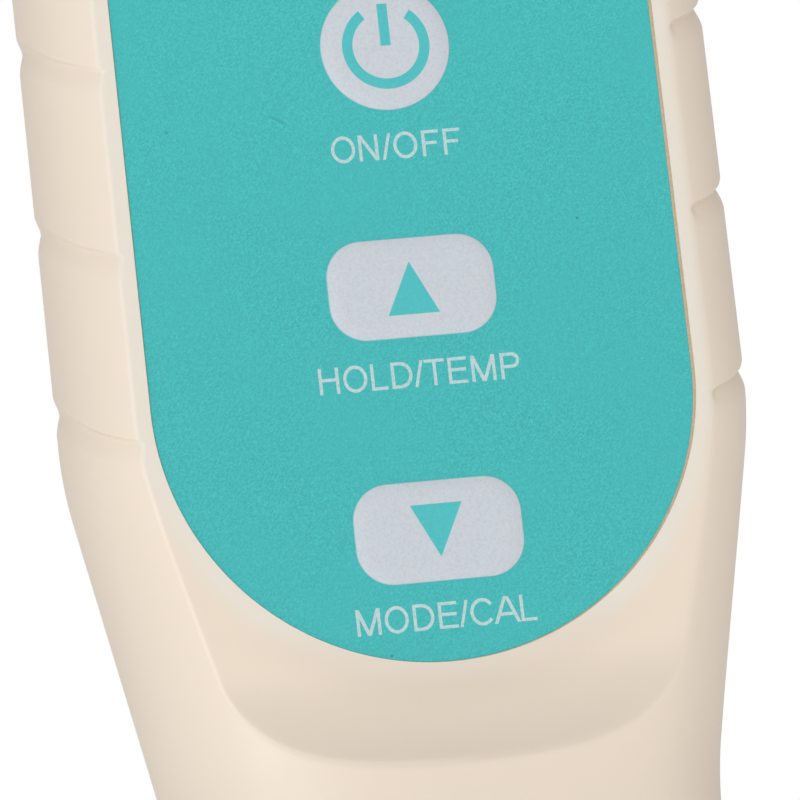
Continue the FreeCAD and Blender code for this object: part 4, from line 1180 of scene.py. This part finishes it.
@dataclass(frozen=True)
class Lettering:
    """Plain capitals made of bars and bows, one unit tall, with a pen of even width."""

    pen: float = 0.128

    def bar(self, foot: float, head: float, share: float = 1.0) -> np.ndarray:
        """A stroke with level ends as tall as the letter, from a foot place to a head place."""
        half = self.pen * share / 2.0
        return np.array([[[foot - half, 0.0], [foot + half, 0.0]], [[head - half, 1.0], [head + half, 1.0]]])

    def beam(self, left: float, right: float, middle: float) -> np.ndarray:
        """A level stroke."""
        half = self.pen * 0.94 / 2.0
        x, z = np.meshgrid([left, right], [middle - half, middle + half])
        return np.stack([x, z], -1)

    def bow(self, x: float, z: float, wide: float, tall: float, start: float, end: float) -> np.ndarray:
        """Part of an oval band between two angles in degrees, from its outer half-width and half-height."""
        angle = np.radians(np.linspace(start, end, 40))
        step = np.array([self.pen, 0.0])[:, None]
        return np.stack([x + (wide - step) * np.cos(angle), z + (tall - step) * np.sin(angle)], -1)

    def glyph(self, letter: str) -> tuple[float, list[np.ndarray]]:
        """A letter's advance and its strokes."""
        low, high = self.pen * 0.47, 1.0 - self.pen * 0.47
        bar, beam, bow = self.bar, self.beam, self.bow

        def bars(*places: float) -> list[np.ndarray]:
            """Upright strokes."""
            return [bar(x, x) for x in places]

        table: dict[str, Callable[[], tuple[float, list[np.ndarray]]]] = {
            "O": lambda: (1.086, [bow(0.54, 0.5, 0.475, 0.515, a - 95.0, a + 95.0) for a in (0.0, 180.0)]),
            "N": lambda: (0.985, bars(0.135, 0.78) + [bar(0.78, 0.135, 1.2)]),
            "/": lambda: (0.4, [bar(0.06, 0.33, 0.95)]),
            "F": lambda: (0.853, bars(0.18) + [beam(0.18, 0.79, high), beam(0.18, 0.7, 0.51)]),
            "H": lambda: (1.008, bars(0.17, 0.84) + [beam(0.17, 0.84, 0.54)]),
            "L": lambda: (0.777, bars(0.14) + [beam(0.14, 0.72, low)]),
            "T": lambda: (0.853, bars(0.43) + [beam(0.03, 0.83, high)]),
            "E": lambda: (
                0.932,
                bars(0.175) + [beam(0.175, x, z) for x, z in ((0.87, low), (0.83, 0.53), (0.86, high))],
            ),
            "M": lambda: (1.163, bars(0.165, 1.0) + [bar(0.58, 0.165, 1.15), bar(0.585, 1.0, 1.15)]),
            "D": lambda: (
                1.008,
                bars(0.175)
                + [beam(0.175, 0.5, z) for z in (low, high)]
                + [bow(0.47, 0.5, 0.475, 0.5, -90.0, 90.0)],
            ),
            "P": lambda: (
                0.932,
                bars(0.17)
                + [beam(0.17, 0.6, z) for z in (high, 0.475)]
                + [bow(0.58, 0.7075, 0.29, 0.2925, -90.0, 90.0)],
            ),
            "C": lambda: (1.03, [bow(0.54, 0.5, 0.49, 0.515, 34.0, 322.0)]),
            "A": lambda: (0.94, [bar(0.01, 0.44, 1.1), bar(0.93, 0.5, 1.1), beam(0.17, 0.77, 0.34)]),
        }
        return table[letter]()

    def words(self, text: str, centre: Span, height: float, width: float) -> list[np.ndarray]:
        """The strokes of a word, fitted to a height and a width about a centre."""
        strokes, x = [], 0.0
        for letter in text:
            advance, parts = self.glyph(letter)
            strokes += [part + np.array([x, 0.0]) for part in parts]
            x += advance
        every = np.concatenate([s.reshape(-1, 2) for s in strokes])
        low, high = every[:, 0].min(), every[:, 0].max()
        scale = np.array([width / (high - low), height])
        middle = np.array([(low + high) / 2.0, 0.5])
        return [(s - middle) * scale + np.array(centre) for s in strokes]


@dataclass
class Legends:
    """The words under the keys: what each key does, in plain capitals."""

    keypad: Keypad
    height: float = 1.56
    words: tuple[tuple[Key, str, float, float, float], ...] = (
        (Key.POWER, "ON/OFF", 0.0, 5.98, 7.7),
        (Key.UP, "HOLD/TEMP", -0.1, 5.12, 11.9),
        (Key.DOWN, "MODE/CAL", -0.1, 4.97, 10.62),
    )

    def build(self) -> None:
        """Prints each word on the film. A row holds its key, text, sideways shift, drop and width."""
        lettering = Lettering()
        for key, text, shift, drop, width in self.words:
            low, high = self.keypad.key_boxes[key]
            centre = (shift, (low[2] + high[2]) / 2.0 - drop)
            front = self.keypad.film_y - self.keypad.ink_height
            strokes = lettering.words(text, centre, self.height, width)
            word = patch(key.name.lower() + "_legend", strokes, front, self.keypad.film_y + OVERLAP)
            dress(word, "housing", "key_plastic", Finishes.LEGENDS)


@dataclass
class Display:
    """The display's figures: seven-part digits on the pane, behind the window."""

    low: np.ndarray
    high: np.ndarray
    numbers: tuple[tuple[str, float, float, float], ...] = (("7.00", 4.6, 1.6, 8.2), ("25.0", 4.4, 7.6, 4.2))
    lift: float = 0.02
    slant: float = 0.07
    width: float = 0.52
    pen: float = 0.115
    gap: float = 0.0545
    dot: float = 0.12
    dot_space: float = 0.16
    digit_space: float = 0.24
    parts: dict[str, str] = field(
        default_factory=lambda: {"0": "abcdef", "2": "abged", "5": "afgcd", "7": "abc"}
    )

    def digit(self, sign: str, x: float, z: float, height: float) -> list[np.ndarray]:
        """One figure's bars, square at their ends and set on a leaning grid."""
        width, half, gap = height * self.width, height * self.pen / 2.0, height * self.gap
        places = {
            "a": (0.0, height, width, height),
            "b": (width, height, width, height / 2.0),
            "c": (width, height / 2.0, width, 0.0),
            "d": (0.0, 0.0, width, 0.0),
            "e": (0.0, height / 2.0, 0.0, 0.0),
            "f": (0.0, height, 0.0, height / 2.0),
            "g": (0.0, height / 2.0, width, height / 2.0),
        }
        bars = []
        for name in self.parts[sign]:
            x0, z0, x1, z1 = places[name]
            start, end = np.array([x0, z0]), np.array([x1, z1])
            along = gap * (end - start) / np.linalg.norm(end - start)
            start, end = start + along, end - along
            across = half * (np.array([0.0, 1.0]) if z0 == z1 else np.array([1.0, 0.0]))
            grid = np.array([[start - across, end - across], [start + across, end + across]])
            grid[..., 0] += self.slant * grid[..., 1]
            bars.append(grid + np.array([x, z]))
        return bars

    def number(self, text: str, right: float, base: float, height: float) -> list[np.ndarray]:
        """A number set from its right-hand end, with a square point."""
        strokes, x = [], right
        for sign in reversed(text):
            if sign == ".":
                dot = height * self.dot
                a, b = np.meshgrid([x - dot, x], [base, base + dot])
                strokes.append(np.stack([a, b], -1))
                x -= dot + height * self.dot_space
            else:
                x -= height * self.width
                strokes += self.digit(sign, x, base, height)
                x -= height * self.digit_space
        return strokes

    def build(self) -> None:
        """Both numbers on the pane's face: a row has the text, its margin, its drop and its height."""
        middle = (self.low[2] + self.high[2]) / 2.0
        strokes = []
        for text, margin, drop, height in self.numbers:
            strokes += self.number(text, self.high[0] - margin, middle - drop, height)
        front = self.low[1]
        figures = patch("display_figures", strokes, front - self.lift, front + OVERLAP)
        dress(figures, "housing", "display_glass", Finishes.SEGMENT)


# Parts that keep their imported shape


@dataclass
class KeptParts:
    """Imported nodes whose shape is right: each gets a smooth-shaded copy with its finish."""

    finishes: dict[str, Finishes] = field(
        default_factory=lambda: {
            "housing_plastic": Finishes.HOUSING,
            "cap_plastic": Finishes.CAPS,
            "overlay_film": Finishes.FILM,
            "key_plastic": Finishes.PADS,
            "window_plastic": Finishes.WINDOW,
            "display_glass": Finishes.PANE,
            "dark_plastic": Finishes.DARK,
            "board_laminate": Finishes.BOARD,
            "part_metal": Finishes.TINNED,
            "screw_steel": Finishes.STEEL,
            "cell_steel": Finishes.CELL,
            "contact_brass": Finishes.BRASS,
            "seal_rubber": Finishes.RUBBER,
            "ribbon_plastic": Finishes.RIBBON,
            "probe_plastic": Finishes.PROBE,
            "bulb_glass": Finishes.BULB,
            "junction_ceramic": Finishes.CERAMIC,
            "clear_plastic": Finishes.CLEAR_CAP,
            "sponge_foam": Finishes.SPONGE,
        }
    )
    sharp: float = 28.0

    def build(self) -> None:
        """Copies, merges, smooths and dresses every node that nothing has replaced yet."""
        slots = {row["node"]: row["material_slot"] for row in frame["record"]["subparts"]}
        bodies = frame["record"]["behaviour"]["bodies"]
        owner = {node: body for body, nodes in bodies.items() for node in nodes}
        for name, node in sorted(frame["nodes"].items()):
            if node.hide_render:
                continue
            mesh = node.data.copy()
            tidy_mesh(mesh, self.sharp, outward=False)
            slot = slots[name]
            dress(add(name + "_dressed", mesh), owner[name], slot, self.finishes[slot], [name])


# Camera, light and floor


@dataclass(frozen=True)
class Portrait:
    """The photograph's view: a long lens just left of and below the keypad, tilted a little."""

    aim: Triple
    turn: float = -8.930
    climb: float = -8.315
    roll: float = -6.344
    distance: float = 340.0
    focal_pixels: float = 5837.4
    clip: Span = (0.01, 20.0)

    def build(self) -> None:
        """Places the camera on a sphere about the aim point and turns it by the roll."""
        turn, climb, roll = (math.radians(a) for a in (self.turn, self.climb, self.roll))
        back = Vector((math.sin(turn) * math.cos(climb), -math.cos(turn) * math.cos(climb), math.sin(climb)))
        right = Vector((math.cos(turn), math.sin(turn), 0.0))
        up = back.cross(right)
        tilted_right = right * math.cos(roll) + up * math.sin(roll)
        tilted_up = up * math.cos(roll) - right * math.sin(roll)
        place = (Vector(self.aim) + back * self.distance) * MM
        data = bpy.data.cameras.new("camera")
        data.sensor_width = SENSOR_WIDTH
        data.lens = self.focal_pixels / IMAGE_SIDE * SENSOR_WIDTH
        data.clip_start, data.clip_end = self.clip
        camera = add("camera", data)
        axes = Matrix((tilted_right, tilted_up, back)).transposed()
        camera.matrix_world = Matrix.Translation(place) @ axes.to_4x4()
        bpy.context.scene.camera = camera


@dataclass(frozen=True)
class Lamp:
    """A square soft light that faces a point."""

    name: str
    place: Triple
    side: float
    power: float
    tint: Colour = EVEN

    def build(self, aim: Vector) -> None:
        """Adds the lamp, in metres, turned to the aim point."""
        data = bpy.data.lights.new(self.name, "AREA")
        data.size = self.side
        data.energy = self.power
        data.color = self.tint
        lamp = add(self.name, data)
        lamp.location = Vector(self.place)
        lamp.rotation_euler = (Vector(self.place) - aim).to_track_quat("Z", "Y").to_euler()


@dataclass(frozen=True)
class Studio:
    """A white surround, soft lamps and a white floor that takes the object's shadow."""

    aim: Vector
    surround: float = 0.5
    floor_glow: float = 0.3
    floor_tint: tuple[float, float, float, float] = (1.0, 0.965, 0.94, 1.0)
    lamps: tuple[Lamp, ...] = (
        Lamp("front_left_lamp", (-0.75, -1.15, -0.28), 0.9, 42.6, (1.0, 0.99, 0.975)),
        Lamp("left_lamp", (-1.35, -0.35, 0.2), 0.6, 1.2, (1.0, 0.98, 0.95)),
        Lamp("front_right_lamp", (1.0, -1.0, 0.1), 0.8, 3.5, (1.0, 0.9, 0.81)),
    )
    floor_side: float = 6.0
    floor_drop: float = 0.0002
    floor_white: float = 0.5

    def build(self) -> None:
        """Builds the surround, the lamps and the floor."""
        self.build_surround()
        for lamp in self.lamps:
            lamp.build(self.aim)
        half = self.floor_side / 2.0
        mesh = bpy.data.meshes.new("floor")
        corners = [(-half, -half, 0.0), (half, -half, 0.0), (half, half, 0.0), (-half, half, 0.0)]
        mesh.from_pydata(corners, [], [(0, 1, 2, 3)])
        floor = add("floor", mesh)
        mesh.materials.append(self.floor_material())
        floor.location.z = -self.floor_drop
        floor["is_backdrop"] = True

    def seen(self, shader: Shader) -> Wire:
        """One for rays that come straight from the camera or through clear pieces."""
        path = shader.node("ShaderNodeLightPath").socket.node.outputs
        return Wire(shader, path["Is Camera Ray"]).largest(Wire(shader, path["Is Transmission Ray"]))

    def build_surround(self) -> None:
        """White where it is looked at, and a plain grey level as a light."""
        world = bpy.data.worlds.new("surround")
        bpy.context.scene.world = world
        shader = Shader(world)
        strength = self.seen(shader) * (1.0 - self.surround) + self.surround
        values = {"Color": (1.0, 1.0, 1.0, 1.0), "Strength": strength}
        light = shader.node("ShaderNodeBackground", values=values)
        shader.node("ShaderNodeOutputWorld", values={"Surface": light})

    def floor_material(self) -> bpy.types.Material:
        """A white matte floor that glows where it is looked at, so that it meets the white surround."""
        shader = Shader(bpy.data.materials.new("floor_white"))
        grain = shader.noise(2.0, 2.0)
        colour = shader.blend(grain, (0.86, 0.86, 0.86), (0.88, 0.88, 0.88))
        matte = shader.node("ShaderNodeBsdfDiffuse", values={"Color": colour})
        warm = {"Color": self.floor_tint, "Strength": self.floor_glow}
        glow = shader.node("ShaderNodeEmission", values=warm)
        lit = shader.node("ShaderNodeAddShader", values={0: matte, 1: glow})
        plain = shader.node("ShaderNodeEmission", values={"Strength": 1.0})
        share = self.seen(shader) * self.floor_white
        mixed = shader.node("ShaderNodeMixShader", values={0: share, 1: lit, 2: plain})
        shader.node("ShaderNodeOutputMaterial", values={"Surface": mixed})
        return shader.owner


# The whole tester


@dataclass
class Tester:
    """Reads the frame's places and builds each sub-assembly in order."""

    label_recess: float = 0.35
    aim_x: float = -1.42
    aim_drop: float = 0.526

    def build(self) -> None:
        """Builds everything that shows."""
        film_low, film_high = span("front_overlay")
        front_low, front_high = span("front_shell")
        _, rear_high = span("rear_shell")
        pane_low, pane_high = span("lcd_glass")
        tube_low, tube_high = span("battery_tube")
        arc_z = film_low[2] + LABEL_HALF_WIDTH
        form = HousingForm(
            arc_z=arc_z,
            low_z=front_low[2],
            high_z=front_high[2],
            joint_y=front_high[1],
            plateau_y=film_high[1] - self.label_recess,
            label_top_z=film_high[2],
            half_width=front_high[0],
            front_reach=front_high[1] - front_low[1],
            rear_reach=rear_high[1] - front_high[1],
        )
        boxes = {Key.POWER: span("power_key"), Key.UP: span("up_key"), Key.DOWN: span("down_key")}
        keypad = Keypad(
            arc_z=arc_z,
            top_z=film_high[2],
            film_y=film_low[1],
            recess_y=film_high[1],
            lens=span("display_window"),
            pane_y=pane_low[1],
            key_boxes=boxes,
        )
        housing = Housing(form, keypad, tube_y=(tube_low[1] + tube_high[1]) / 2.0)
        housing.build_front()
        housing.build_rear()
        keypad.build_film()
        keypad.build_adhesive_and_gap_shade()
        for key, (low, high) in boxes.items():
            KeyPad(key, key.name.lower() + "_key", low, high, film_high[1], film_low[1]).build()
        Legends(keypad).build()
        Display(pane_low, pane_high).build()
        KeptParts().build()
        aim = (self.aim_x, film_low[1], arc_z - self.aim_drop)
        Portrait(aim).build()
        Studio(Vector(aim) * MM).build()


def main() -> None:
    """Builds the tester and its studio."""
    logging.basicConfig(level=logging.INFO, format="%(message)s")
    scene = bpy.context.scene
    scene.view_settings.view_transform = "Standard"
    Tester().build()
    bpy.context.view_layer.update()
    corners = {"cad": cad_bounds, "visual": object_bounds()}
    {name: [list(low), list(high)] for name, (low, high) in corners.items()}


if __name__ == "__main__":
    main()
